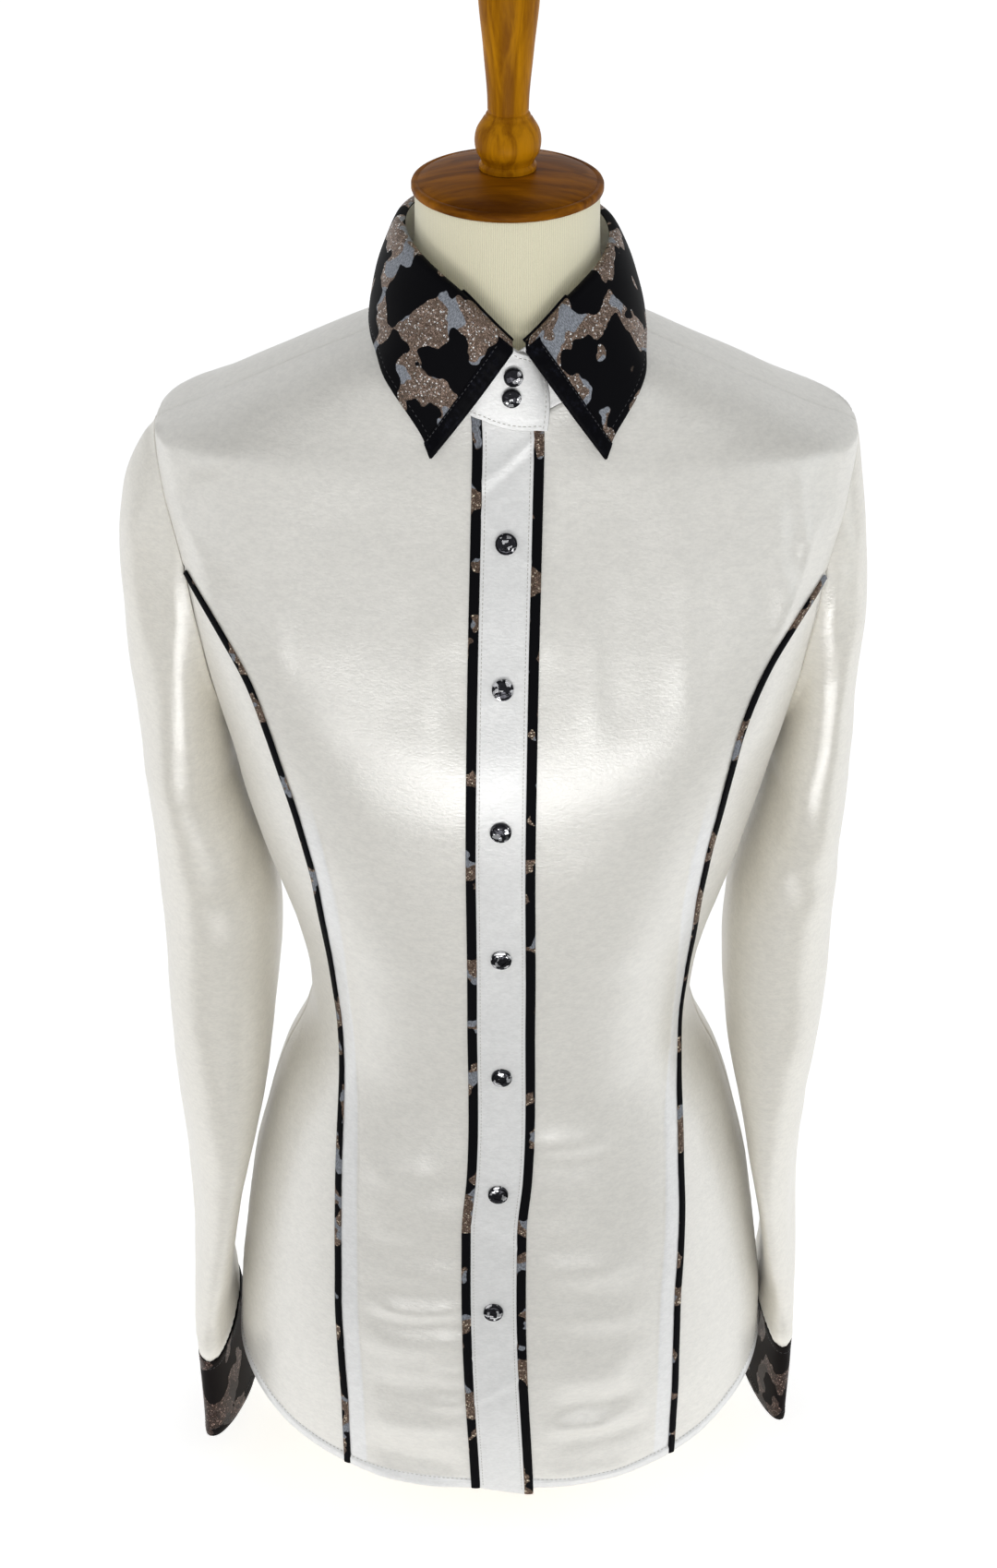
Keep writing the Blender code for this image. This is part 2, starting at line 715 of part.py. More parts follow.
def section_turns(side, z, first, second):
    # Turns spaced evenly along the section: `first` spans round the front, `second` round the back.
    dense = np.linspace(0, 1, 721)
    ring = sleeve_section(side, z, dense)
    length = np.concatenate([[0], np.cumsum(np.linalg.norm(np.diff(ring, axis=0), axis=1))])
    middle = length[360]
    front = np.interp(np.linspace(0, middle, first + 1), length, dense)
    back = np.interp(np.linspace(middle, length[-1], second + 1), length, dense)
    return np.concatenate([front, back[1:-1]])


def armhole_ring():
    # From the shoulder tip down the front to the underarm and up the back, closed.
    upper = armhole_front_upper()
    lower = armhole_front_lower()
    back = armhole_back()[::-1]
    return np.concatenate([upper, lower[1:], back[1:-1]])


def sleeve_start(ring):
    # Direction in which the sleeve leaves each point of the armhole.
    normal = body_normal(ring)
    along = unit(np.roll(ring, -1, axis=0) - np.roll(ring, 1, axis=0))
    across = unit(np.cross(along, normal))
    middle = ring.mean(axis=0)
    across *= np.sign(((middle - ring) * across).sum(-1, keepdims=True))
    share = (SHOULDER_TIP[2] - ring[:, 2:3]) / ARMHOLE_DEPTH
    bend = LEAVING_BEND * np.clip(share, 0, 1) ** 1.1
    start = np.cos(bend) * across + np.sin(bend) * normal
    lifted = np.minimum(bend, math.pi / 2)
    offset = GAP * (np.cos(lifted) * across + np.sin(lifted) * normal)
    return start, ring + offset


HEAD_SHARES = (0.0, 0.07, 0.18, 0.34, 0.54, 0.78)
SLEEVE_HEIGHTS = (0.485, 0.445, 0.405, 0.365, 0.325, 0.285, 0.245, 0.208, 0.172, 0.132, 0.0853)
LEAVING_BEND = math.radians(168.0)   # how far the sleeve turns down over its seam at the underarm


def filled_out(side, row):
    # The row moved out to the head's outer side, most at its outermost point and not at all inside.
    z = float(row[0, 2])
    wanted = read(HEAD, HEAD_COLUMNS, "outer", z) + swing(side, z)
    facing = np.cos(2 * math.pi * np.arange(len(row)) / len(row))
    row = row.copy()
    row[:, 0] += (wanted - row[0, 0]) * np.clip(facing, 0, 1) ** 1.3
    return row


def sleeve_grid(side):
    ring = armhole_ring()
    start, first = sleeve_start(ring)
    front = UPPER_ARMHOLE_ROWS + LOWER_ARMHOLE_ROWS
    back = len(ring) - front
    top = SLEEVE_HEIGHTS[0]
    target = sleeve_section(side, top, section_turns(side, top, front, back))
    reach = np.linalg.norm(target - first, axis=1, keepdims=True)
    rows = []
    for t in HEAD_SHARES:
        h00 = (1 + 2 * t) * (1 - t) ** 2
        h10 = t * (1 - t) ** 2
        h01 = t * t * (3 - 2 * t)
        h11 = t * t * (t - 1)
        down = np.array([0.0, 0.0, -1.0])
        row = h00 * first + h10 * 0.42 * reach * start + h01 * target + h11 * 0.9 * reach * down
        rows.append(filled_out(side, row) if t > 0 else row)
    for z in SLEEVE_HEIGHTS:
        rows.append(sleeve_section(side, z, section_turns(side, z, front, back)))
    return np.array(rows), start


def tube_normals(grid, start=None):
    along = np.roll(grid, -1, axis=1) - np.roll(grid, 1, axis=1)
    down = np.gradient(grid, axis=0)
    if start is not None:
        down[0] = start
    return unit(np.cross(along, down))


def outward(grid, normal):
    middle = grid.mean(axis=1, keepdims=True)
    low = ((grid[-1] - middle[-1]) * normal[-1]).sum()
    return normal if low > 0 else -normal


def add_sleeves():
    for side in SIDE:
        grid, start = sleeve_grid(side)
        normal = outward(grid, tube_normals(grid, start))
        inner = grid - WALL * normal
        grid, inner = mirror(grid, side), mirror(inner, side)
        add_wall("sleeve_" + side, grid, inner, "satin", wrap=True)


CUFF_COLUMNS = 28
LAP_FROM = 0.86          # turns at which the upper layer of the cuff's lap ends


def cuff_grid(side, lift):
    # A strip once round the cuff and on under its own end; lift moves the whole of it outward.
    lap = CUFF_LAP / (2 * math.pi)
    rows = []
    for z in np.linspace(CUFF_TOP, CUFF_TOP - CUFF_HEIGHT, 4):
        turns = section_turns(side, z, 14, 14)
        turns = np.concatenate([turns, [1.0]])
        even_turn = np.linspace(0, 1, len(turns))
        wanted = LAP_FROM - np.linspace(0, 1 + lap, CUFF_COLUMNS)
        found = np.interp(wanted % 1.0, even_turn, turns)
        centre = sleeve_section(side, z, np.linspace(0, 1, 60)).mean(axis=0)
        line = sleeve_section(side, z, found)
        ahead = sleeve_section(side, z, found + 1e-3) - sleeve_section(side, z, found - 1e-3)
        out = unit(np.stack([ahead[:, 1], -ahead[:, 0], np.zeros(len(line))], axis=-1))
        out *= np.sign((out * (line - centre)).sum(-1, keepdims=True))
        travelled = np.linspace(0, 1 + lap, CUFF_COLUMNS)[:, None]
        sink = (COLLAR_WALL + GAP) * np.clip((travelled - (1 - lap * 0.9)) / (lap * 0.8), 0, 1)
        rows.append(line + out * (0.0010 + lift - sink))
    return np.array(rows)


def add_cuffs():
    for side in SIDE:
        outer = mirror(cuff_grid(side, 0.0), side)
        inner = mirror(cuff_grid(side, -COLLAR_WALL), side)
        add_wall("cuff_" + side, outer, inner, "leopard_lame")


# ---- collar ----


def roll_point(angle):
    # The line along which the leaf turns over, at the top of the stand; angle 0 is the axis.
    angle = np.asarray(angle, float)
    reach = np.where(np.cos(angle) > 0, ROLL_Y_FRONT, ROLL_Y_BACK)
    from_opening = np.abs((angle - ROLL_TURN + math.pi) % (2 * math.pi) - math.pi)
    z = read(ROLL, ROLL_COLUMNS, "height", np.degrees(from_opening)) - ROLL_TILT * np.sin(angle)
    return np.stack([ROLL_X * np.sin(angle), -reach * np.cos(angle), z], axis=-1)


def roll_steepness(angle):
    # How much longer the roll line is than its plan, at this angle.
    ahead, behind = roll_point(angle + 0.01), roll_point(angle - 0.01)
    flat = np.linalg.norm((ahead - behind)[..., :2], axis=-1)
    return np.linalg.norm(ahead - behind, axis=-1) / flat


def flat_outward(angle):
    out = np.stack([np.sin(angle), -np.cos(angle), np.zeros_like(angle)], axis=-1)
    return unit(out)


STAND_COLUMNS = 38
STAND_ROWS = 3


def stand_point(travelled, share, lift):
    # Along the stand from its lapping end, the wearer's left; share 0 is its lower edge, 1 its top.
    near_end = np.clip(1 - travelled / math.radians(16), 0, 1)
    corner = np.clip(1 - travelled / math.radians(8), 0, 1)
    rounding = math.radians(4.0) * (1 - share) ** 2 + math.radians(1.5) * share**4
    angle = STAND_OVER - travelled - corner * rounding
    hang = np.clip(1 - travelled / math.radians(32), 0, 1)
    low = at_angle(angle, neck_height(angle) + GAP * 1.3 - STAND_HANG * hang)
    high = roll_point(angle)
    past_opening = np.maximum(angle - ROLL_TURN, 0)
    high[:, 2] -= np.where(travelled < 1.0, past_opening * 0.034 + 0.0125 * near_end**2, 0)
    point = low + share * (high - low)
    sweep = 2 * math.pi + STAND_OVER + STAND_UNDER
    sink = (COLLAR_WALL + GAP) * np.clip((travelled - (sweep - 1.75)) / 0.9, 0, 1)
    over = STAND_LIFT * np.clip(1 - (travelled - math.radians(33)) / math.radians(16), 0, 1)
    ease = over * over * (3 - 2 * over / STAND_LIFT) / STAND_LIFT
    out = 0.0016 + lift - sink + ease * (1 - 0.75 * share)
    return point + flat_outward(angle) * out[:, None]


def stand_grid(lift):
    sweep = 2 * math.pi + STAND_OVER + STAND_UNDER
    travelled = sweep * np.linspace(0, 1, STAND_COLUMNS) ** 1.25
    shares = np.linspace(0, 1, STAND_ROWS + 1)
    return np.array([stand_point(travelled, share, lift) for share in shares])


def add_stand():
    add_wall("collar_stand", stand_grid(0.0), stand_grid(-COLLAR_WALL), "satin")


LEAF_ROWS = (0.0, 0.035, 0.09, 0.22, 0.42, 0.66, 1.0)


def leaf_point(share, fall):
    # share 0 and 1 are the two front ends, 0.5 the middle of the back; fall 0 is inside the roll.
    share = np.asarray(share, float)
    half = 1 - np.abs(2 * share - 1)
    side = np.where(share < 0.5, 1.0, -1.0)
    roll_angle = LEAF_START + half * (math.pi - LEAF_START)
    edge_angle = roll_angle + TIP_ANGLE * (1 - half) ** 3
    height = read(LEAF_EDGE, LEAF_COLUMNS, "height", np.degrees(edge_angle))
    off = read(LEAF_EDGE, LEAF_COLUMNS, "stand_off", np.degrees(edge_angle))
    fading = np.maximum(np.cos(roll_angle), 0) ** 0.5
    turned_roll = side * roll_angle + ROLL_TURN * fading
    turned_edge = side * edge_angle + EDGE_TURN * np.maximum(np.cos(edge_angle), 0) ** 0.5
    roll = roll_point(turned_roll)
    out = flat_outward(turned_roll)
    edge = at_angle(turned_edge, height)
    edge = edge + body_normal(edge) * off[..., None]
    up = np.array([0.0, 0.0, 1.0])
    rise = up * roll_steepness(turned_roll)[..., None]
    inside = roll - 0.0012 * out + 0.0028 * rise
    top = roll + 0.0024 * out + 0.0033 * rise
    over = roll + 0.0052 * out + 0.0002 * up
    if fall <= LEAF_ROWS[1]:
        t = fall / LEAF_ROWS[1]
        return inside + t * (top - inside)
    if fall <= LEAF_ROWS[2]:
        t = (fall - LEAF_ROWS[1]) / (LEAF_ROWS[2] - LEAF_ROWS[1])
        return top + t * (over - top)
    t = (fall - LEAF_ROWS[2]) / (1 - LEAF_ROWS[2])
    swell = 0.0030 * math.sin(math.pi * t) ** 0.8
    return over + t * (edge - over) + out * swell


def leaf_normal(share, fall):
    step = 2e-3
    share = np.clip(share, step, 1 - step)
    low, high = max(fall - 0.01, 0.0), min(fall + 0.01, 1.0)
    if abs(fall - LEAF_ROWS[1]) < 1e-6:
        low, high = 0.0, LEAF_ROWS[2]
    if fall == 0.0:
        high = 0.02
    along = leaf_point(share + step, fall) - leaf_point(share - step, fall)
    down = leaf_point(share, high) - leaf_point(share, low)
    normal = unit(np.cross(along, down))
    return normal


LEAF_COLUMNS_COUNT = 37


def leaf_grid(shares, falls, lift):
    rows = []
    for fall in falls:
        point = leaf_point(shares, fall)
        normal = leaf_normal(shares, fall)
        guide = flat_outward(np.arctan2(point[..., 0], -point[..., 1])) + np.array([0, 0, 0.6])
        normal = normal * np.sign((normal * guide).sum(-1, keepdims=True))
        rows.append(point + lift * normal)
    return np.array(rows)


def leaf_shares():
    # Closer together by the two front ends.
    even_share = np.linspace(0, 1, LEAF_COLUMNS_COUNT)
    return even_share - 0.07 * np.sin(2 * math.pi * even_share)


def band_share(fall):
    # How far round from the front end the satin band reaches at this fall.
    step = 1e-3
    a = leaf_point(np.array([0.0]), fall)
    b = leaf_point(np.array([step]), fall)
    return BAND_WIDTH * step / float(np.linalg.norm(b - a))


def add_leaf():
    shares = leaf_shares()
    shares[1] = 0.5 * (band_share(0.3) + band_share(0.9))
    shares[-2] = 1 - shares[1]
    outer = leaf_grid(shares, LEAF_ROWS, 0.0)
    inner = leaf_grid(shares, LEAF_ROWS, -COLLAR_WALL)
    add_wall("collar_leaf", outer, inner, "leopard_lame")
    band_falls = LEAF_ROWS[2:]
    for side in SIDE:
        across = shares[:2] if side == "left" else shares[-2:]
        low = leaf_grid(across, band_falls, GAP)
        high = leaf_grid(across, band_falls, GAP + TRIM_WALL * 0.8)
        add_wall("collar_band_" + side, high, low, "black_satin")


# ---- placket, piping and snaps ----


def lifted(points, amount):
    return points + amount * body_normal(points)


def hanging_end(line, drop):
    # The line's lower end let down by this much.
    line = line.copy()
    line[0, 2] -= drop
    return line


def add_placket():
    columns = []
    for x in (-CENTRE_COLUMNS[2], -CENTRE_COLUMNS[1], 0.0, CENTRE_COLUMNS[1], CENTRE_COLUMNS[2]):
        column = centre_column(abs(x)) * np.array([math.copysign(1, x), 1, 1])
        share = (x + PLACKET_HALF) / (2 * PLACKET_HALF)
        columns.append(hanging_end(column, PLACKET_DROP * share))
    grid = np.stack(columns, axis=1)
    grid = seam_gaps(grid, ("top",))
    add_wall("placket", lifted(grid, GAP + TRIM_WALL), lifted(grid, GAP), "satin")


def piping_mesh(name, rails, lift=GAP):
    # A strip with a rounded back. Its rails are the two edges and the middle, each a line of points.
    section = (
        (0, 0.0, 0.0),
        (0, 0.35, 0.68),
        (1, 0.0, 1.0),
        (2, 0.35, 0.68),
        (2, 0.0, 0.0),
        (1, 0.0, 0.0),
    )
    middle = rails[1]
    normals = [body_normal(rail) for rail in rails]
    points = []
    for k in range(len(middle)):
        for rail, towards_middle, rise in section:
            place = rails[rail][k] + towards_middle * (middle[k] - rails[rail][k])
            height = lift + rise * (PIPING_HEIGHT - lift)
            points.append(place + normals[rail][k] * height)
    count = len(section)
    faces = []
    for k in range(len(middle) - 1):
        for j in range(count):
            n = (j + 1) % count
            a, b = k * count + j, k * count + n
            faces.append((a, b, b + count, a + count))
    faces.append(tuple(range(count)))
    last = (len(middle) - 1) * count
    faces.append(tuple(last + j for j in range(count))[::-1])
    return add_object(name, points, faces, "leopard_lame", 80.0)


def trimmed(line, at_start, at_end):
    # The line shortened by these lengths at its two ends.
    line = line.copy()
    line[0] = line[0] + at_start * unit(line[1] - line[0])
    line[-1] = line[-1] + at_end * unit(line[-2] - line[-1])
    return line


def add_placket_piping():
    near, far = CENTRE_COLUMNS[2] + GAP, CENTRE_COLUMNS[3]
    for side in SIDE:
        rails = []
        for x in (near, (near + far) / 2, far):
            rail = trimmed(centre_column(x), 0.0, 0.0006)
            if side == "left":
                rail = hanging_end(rail, PLACKET_DROP)
            rails.append(mirror(rail, side))
        piping_mesh("placket_piping_" + side, rails)


def add_princess_piping():
    for side in SIDE:
        front, beside = front_grid(side), side_front_grid(side)
        rows = PRINCESS_ROWS + 1
        rails = [front[:rows, 1], front[:rows, 0], beside[:rows, -2]]
        rails = [trimmed(rail, 0.0, 0.0028) for rail in rails]
        piping_mesh("princess_piping_" + side, rails, 2.4 * GAP)


def snap_profile(radius, height):
    return (
        (radius, 0.0),
        (radius, height * 0.50),
        (radius * 0.80, height * 0.90),
        (radius * 0.40, height),
        (0.0, height * 0.95),
    )


def add_snap(name, point, normal, radius, height):
    normal = unit(np.asarray(normal, float))
    across = unit(np.cross(np.array([0.0, 0.0, 1.0]), normal))
    along = np.cross(normal, across)
    frame = (np.asarray(point, float), across, along, normal)
    return add_turned(name, snap_profile(radius, height), 12, "snap_metal", frame, 30.0)


def add_snaps():
    lift = GAP + TRIM_WALL + GAP
    for k, z in enumerate(SNAP_HEIGHTS):
        point = at_width(np.array(0.0), np.array(z))
        normal = body_normal(point)
        name = "placket_snap_%d" % (k + 1)
        add_snap(name, point + lift * normal, normal, SNAP_RADIUS, SNAP_HEIGHT)
    for k, z in enumerate(COLLAR_SNAP_HEIGHTS):
        travelled = np.array([STAND_OVER - math.radians(3.4 - 0.9 * k)])
        low = stand_point(travelled, 0.0, 0.0)[0]
        high = stand_point(travelled, 1.0, 0.0)[0]
        share = (z - low[2]) / (high[2] - low[2])
        lean = unit(high - low)
        out = flat_outward(STAND_OVER - travelled)[0]
        normal = unit(out - (out * lean).sum() * lean)
        point = stand_point(travelled, share, 0.0)[0] + normal * (GAP + 0.0002)
        add_snap("collar_snap_%d" % (k + 1), point, normal, COLLAR_SNAP_RADIUS, SNAP_HEIGHT)


def add_cuff_snaps():
    # In the middle of the cuff's height, by the upper end of its lap.
    for side in SIDE:
        corners = mirror(cuff_grid(side, 0.0)[1:3, 1:3].reshape(4, 3), side)
        normal = unit(np.cross(corners[3] - corners[0], corners[2] - corners[1]))
        middle = cuff_grid(side, 0.0).reshape(-1, 3).mean(axis=0)
        normal *= np.sign(((corners.mean(axis=0) - mirror(middle, side)) * normal).sum())
        point = corners.mean(axis=0) + normal * 2 * GAP
        add_snap("cuff_snap_" + side, point, normal, COLLAR_SNAP_RADIUS, SNAP_HEIGHT)


# ---- dress form ----

FORM_SIDES = 24


def front_or_back(table, columns, angle, z):
    front, back = read(table, columns, "front", z), read(table, columns, "back", z)
    return np.where(np.cos(angle) > 0, front, back)


def form_section(table, columns, z, square):
    # A horizontal ring of points, squarer than an ellipse where square is above 2.
    angle = 2 * math.pi * np.arange(FORM_SIDES) / FORM_SIDES
    across = np.sign(np.sin(angle)) * np.abs(np.sin(angle)) ** (2 / square)
    ahead = np.sign(np.cos(angle)) * np.abs(np.cos(angle)) ** (2 / square)
    x = read(table, columns, "half", z) * across
    y = -front_or_back(table, columns, angle, z) * ahead
    return np.stack([x, y, np.full(FORM_SIDES, z)], axis=-1)


def form_ring(z):
    if z > NECK[0][0] - 1e-6:
        return form_section(NECK, NECK_COLUMNS, z, 2.0)
    ring = form_section(RINGS, RING_COLUMNS, z, read(RINGS, RING_COLUMNS, "square", z))
    angle = 2 * math.pi * np.arange(FORM_SIDES) / FORM_SIDES
    side = read(CLEARANCE, CLEARANCE_COLUMNS, "side", z)
    facing = front_or_back(CLEARANCE, CLEARANCE_COLUMNS, angle, z)
    clearance = side + (facing - side) * np.cos(angle) ** 2
    moved = ring - clearance[:, None] * body_normal(ring)
    if z <= FORM_BOTTOM:
        moved[:, 2] = z
    return moved


TORSO_HEIGHTS = (
    FORM_BOTTOM, 0.150, 0.205, 0.250, 0.290, 0.315, 0.340, 0.380, 0.425, 0.470, 0.510,
    0.550, 0.590, 0.630, 0.660, 0.684, 0.697, 0.710, 0.722, 0.734, 0.741,
)
FORM_HEIGHTS = TORSO_HEIGHTS + tuple(row[0] for row in NECK)


def add_form_body():
    points = []
    for z in FORM_HEIGHTS:
        points.extend(form_ring(z))
    faces = []
    for r in range(len(FORM_HEIGHTS) - 1):
        for c in range(FORM_SIDES):
            n = (c + 1) % FORM_SIDES
            a, b = r * FORM_SIDES + c, r * FORM_SIDES + n
            faces.append((a, b, b + FORM_SIDES, a + FORM_SIDES))
    faces.append(tuple(range(FORM_SIDES)))
    last = (len(FORM_HEIGHTS) - 1) * FORM_SIDES
    faces.append(tuple(last + c for c in range(FORM_SIDES))[::-1])
    add_object("form_body", points, faces, "form_jersey")


def add_form_cap():
    profile = (
        (CAP_RADIUS - 0.0012, 0.0),
        (CAP_RADIUS, 0.0010),
        (CAP_RADIUS, 0.0040),
        (CAP_RADIUS - 0.0014, 0.0052),
        (CAP_RADIUS * 0.66, 0.0088),
        (0.0150, 0.0110),
        (0.0, 0.0112),
    )
    frame = (np.array([0.0, 0.0, CAP_UNDERSIDE]), (1, 0, 0), (0, 1, 0), (0, 0, 1))
    add_turned("form_cap", profile, 30, "cap_wood", frame)


FINIAL_PROFILE = (
    (0.0146, 0.0000),
    (0.0148, 0.0018),
    (0.0136, 0.0042),
    (0.0160, 0.0090),
    (0.0170, 0.0145),
    (0.0160, 0.0205),
    (0.0126, 0.0265),
    (0.0105, 0.0310),
    (0.0128, 0.0620),
    (0.0156, 0.0940),
    (0.0152, 0.0995),
    (0.0110, 0.1035),
    (0.0, 0.1045),
)


def add_finial():
    base = CAP_UNDERSIDE + 0.0112 + GAP
    frame = (np.array([0.0, 0.0, base]), (1, 0, 0), (0, 1, 0), (0, 0, 1))
    add_turned("form_finial", FINIAL_PROFILE, 18, "finial_wood", frame)


def add_foot():
    top = FORM_BOTTOM - GAP
    profile = ((1.0, 0.0), (1.0, 0.012), (0.90, 0.022), (0.62, 0.034), (0.56, 0.050), (0.56, top))
    sides = 28
    points = []
    for scale, z in profile:
        for k in range(sides):
            angle = 2 * math.pi * k / sides
            x = FOOT_HALF_X * scale * math.cos(angle)
            points.append((x, FOOT_HALF_Y * scale * math.sin(angle), z))
    faces = []
    for r in range(len(profile) - 1):
        for c in range(sides):
            n = (c + 1) % sides
            a, b = r * sides + c, r * sides + n
            faces.append((a, b, b + sides, a + sides))
    faces.append(tuple(range(sides)))
    last = (len(profile) - 1) * sides
    faces.append(tuple(last + c for c in range(sides))[::-1])
    add_object("form_foot", points, faces, "cap_wood")


def main():
    clear_scene()
    add_body_panels()
    add_sleeves()
    add_cuffs()
    add_stand()
    add_leaf()
    add_placket()
    add_placket_piping()
    add_princess_piping()
    add_snaps()
    add_cuff_snaps()
    add_form_body()
    add_form_cap()
    add_finial()
    add_foot()


main()
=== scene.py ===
import math

import bpy
import numpy as np
from mathutils import Matrix, Vector


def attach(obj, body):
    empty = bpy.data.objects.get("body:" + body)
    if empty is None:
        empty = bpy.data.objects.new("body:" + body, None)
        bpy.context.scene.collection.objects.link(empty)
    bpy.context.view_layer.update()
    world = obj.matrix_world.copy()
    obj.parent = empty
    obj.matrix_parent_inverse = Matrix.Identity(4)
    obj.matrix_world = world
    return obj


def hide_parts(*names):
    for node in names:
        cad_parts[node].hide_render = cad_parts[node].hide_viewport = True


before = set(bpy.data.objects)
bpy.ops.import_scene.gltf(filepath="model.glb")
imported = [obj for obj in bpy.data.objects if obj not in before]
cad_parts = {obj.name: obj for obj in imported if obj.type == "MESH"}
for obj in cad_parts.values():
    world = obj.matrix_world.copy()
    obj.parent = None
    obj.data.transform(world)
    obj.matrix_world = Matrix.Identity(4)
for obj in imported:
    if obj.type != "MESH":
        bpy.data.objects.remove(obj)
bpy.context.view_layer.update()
print("frame loaded")

centre = np.array([0.0065, 0.0047, 0.0])     # every point below is given before this shift
sideSign = {"right": -1.0, "left": 1.0}
up = np.array([0.0, 0.0, 1.0])

cloth = {
    "wall": 0.0012,
    "trimWall": 0.0010,
    "collarWall": 0.0013,
    "gap": 0.0003,             # between a piece and what it lies on
    "seamGap": 0.00012,        # between pieces sewn edge to edge
    "rowsToJunction": 150,     # rows of points from the hem up to the armhole's notch
    "rowsAbove": 46,
    "shoulderSpans": 38,
    "neckSpans": 22,
    "sideSpans": 38,
    "sleeveAround": 112,
}
cut = {
    "shoulderTip": np.array([0.1865, 0.0, 0.686]),
    "armholeDepth": 0.174,
    "armholeReach": {-1: 0.054, 1: 0.056},     # how far it bows to the front and to the back
    "notch": 0.36,             # share of the armhole's depth where the princess seam meets it
    "bendFrom": 0.54,          # height from which the princess seam bends out to the notch
    "hemMiddle": 0.048,
    "hemRise": 0.032,          # the hem is this much higher at the side seams
    "neckSide": 0.7475,
    "neckFrontDrop": 0.0335,
    "neckBackRise": 0.0045,
    "neckShoulderAngle": math.radians(82.0),
    "neckReach": 0.0605,
    "placketHalf": 0.0130,
    "placketDrop": 0.0045,     # the placket's top slopes down this much to the wearer's left
    "pipingWidth": 0.0042,
}
placketHalf = cut["placketHalf"]
centreEdge = placketHalf + cloth["gap"] + cut["pipingWidth"]

# sections of the shirt's body: height, half width, reach to the front, to the back, squareness
bodySections = [
    (0.03, 0.16, 0.124, 0.118, 2.15), (0.05, 0.16, 0.124, 0.118, 2.15), (0.09, 0.1598, 0.124, 0.1185, 2.15),
    (0.122, 0.1585, 0.1238, 0.118, 2.15), (0.158, 0.1545, 0.1228, 0.116, 2.15),
    (0.2, 0.1485, 0.1212, 0.11, 2.15), (0.237, 0.14, 0.1195, 0.1, 2.2), (0.28, 0.1275, 0.1178, 0.088, 2.2),
    (0.312, 0.1135, 0.1165, 0.079, 2.2), (0.33, 0.11, 0.1163, 0.0765, 2.2),
    (0.362, 0.1124, 0.1168, 0.078, 2.2), (0.393, 0.1195, 0.1182, 0.084, 2.2),
    (0.415, 0.1265, 0.1195, 0.088, 2.25), (0.455, 0.1385, 0.122, 0.095, 2.35),
    (0.485, 0.1455, 0.1235, 0.0995, 2.45), (0.515, 0.152, 0.123, 0.102, 2.55),
    (0.545, 0.1595, 0.1185, 0.103, 2.7), (0.575, 0.1675, 0.1095, 0.102, 2.85),
    (0.605, 0.1755, 0.0995, 0.0995, 3.0), (0.635, 0.1825, 0.0885, 0.095, 3.0),
    (0.66, 0.1865, 0.079, 0.089, 2.9), (0.686, 0.1865, 0.07, 0.082, 2.8), (0.7, 0.158, 0.065, 0.077, 2.6),
    (0.715, 0.127, 0.0617, 0.072, 2.4), (0.73, 0.096, 0.0602, 0.0665, 2.2),
    (0.741, 0.073, 0.059, 0.063, 2.0), (0.7475, 0.0625, 0.058, 0.0605, 2.0),
    (0.756, 0.057, 0.0565, 0.058, 2.0),
]
# the princess seams' distance from the middle: height, wearer's right, wearer's left
princessLine = [
    (0.03, 0.09, 0.1036), (0.104, 0.0912, 0.1045), (0.16, 0.0928, 0.1042), (0.22, 0.093, 0.1052),
    (0.267, 0.0918, 0.1032), (0.312, 0.09, 0.1008), (0.342, 0.0906, 0.1012), (0.372, 0.093, 0.1036),
    (0.405, 0.0958, 0.1058), (0.44, 0.0996, 0.1082), (0.466, 0.1036, 0.1116), (0.495, 0.1105, 0.1162),
    (0.523, 0.1182, 0.1206), (0.545, 0.1245, 0.1244), (0.576, 0.1352, 0.1338), (0.6, 0.149, 0.147),
    (0.635, 0.174, 0.172),
]
# how far the front's middle drifts to the wearer's left: height, shift
frontDrift = [
    (0.0476, 0.0029), (0.0709, 0.0017), (0.1344, -0.0019), (0.1747, -0.0032), (0.2334, -0.0035),
    (0.2716, -0.0005), (0.3849, -0.0001), (0.4949, -0.0012), (0.5854, -0.0006), (0.6532, 0.0006),
    (0.7072, 0.0016),
]


def smoothValue(xs, ys, x):
    # cubic through the rows, its slope at each the mean of the two beside it
    xs, ys = np.asarray(xs, float), np.asarray(ys, float)
    x = np.clip(np.asarray(x, float), xs[0], xs[-1])
    steps = np.diff(xs)
    slopes = np.diff(ys) / steps
    middle = (slopes[:-1] * steps[1:] + slopes[1:] * steps[:-1]) / (steps[:-1] + steps[1:])
    middle = np.where(slopes[:-1] * slopes[1:] <= 0, 0.0, middle)
    grade = np.concatenate([[slopes[0]], middle, [slopes[-1]]])
    k = np.clip(np.searchsorted(xs, x, side="right") - 1, 0, len(xs) - 2)
    h = steps[k]
    t = (x - xs[k]) / h
    low = (1 + 2 * t) * (1 - t) ** 2 * ys[k] + t * (1 - t) ** 2 * h * grade[k]
    high = t * t * (3 - 2 * t) * ys[k + 1] + t * t * (t - 1) * h * grade[k + 1]
    return low + high


def read(rows, column, x):
    rows = np.array(sorted(rows), float)
    return smoothValue(rows[:, 0], rows[:, column], x)


def ease(t):
    t = np.clip(t, 0, 1)
    return t * t * (3 - 2 * t)


def bell(distance, width):
    return np.exp(-((distance / width) ** 2))


def unit(vector):
    length = np.linalg.norm(vector, axis=-1, keepdims=True)
    return vector / np.maximum(length, 1e-12)


def lengthAlong(points):
    return np.concatenate([[0], np.cumsum(np.linalg.norm(np.diff(points, axis=0), axis=1))])


def pointsAt(wanted, places, points):
    return np.stack([np.interp(wanted, places, points[:, k]) for k in range(3)], axis=-1)


def stacked(x, y, z):
    return np.stack(np.broadcast_arrays(x, y, z), axis=-1)


def mirror(points, side):
    return points * np.array([sideSign[side], 1.0, 1.0])


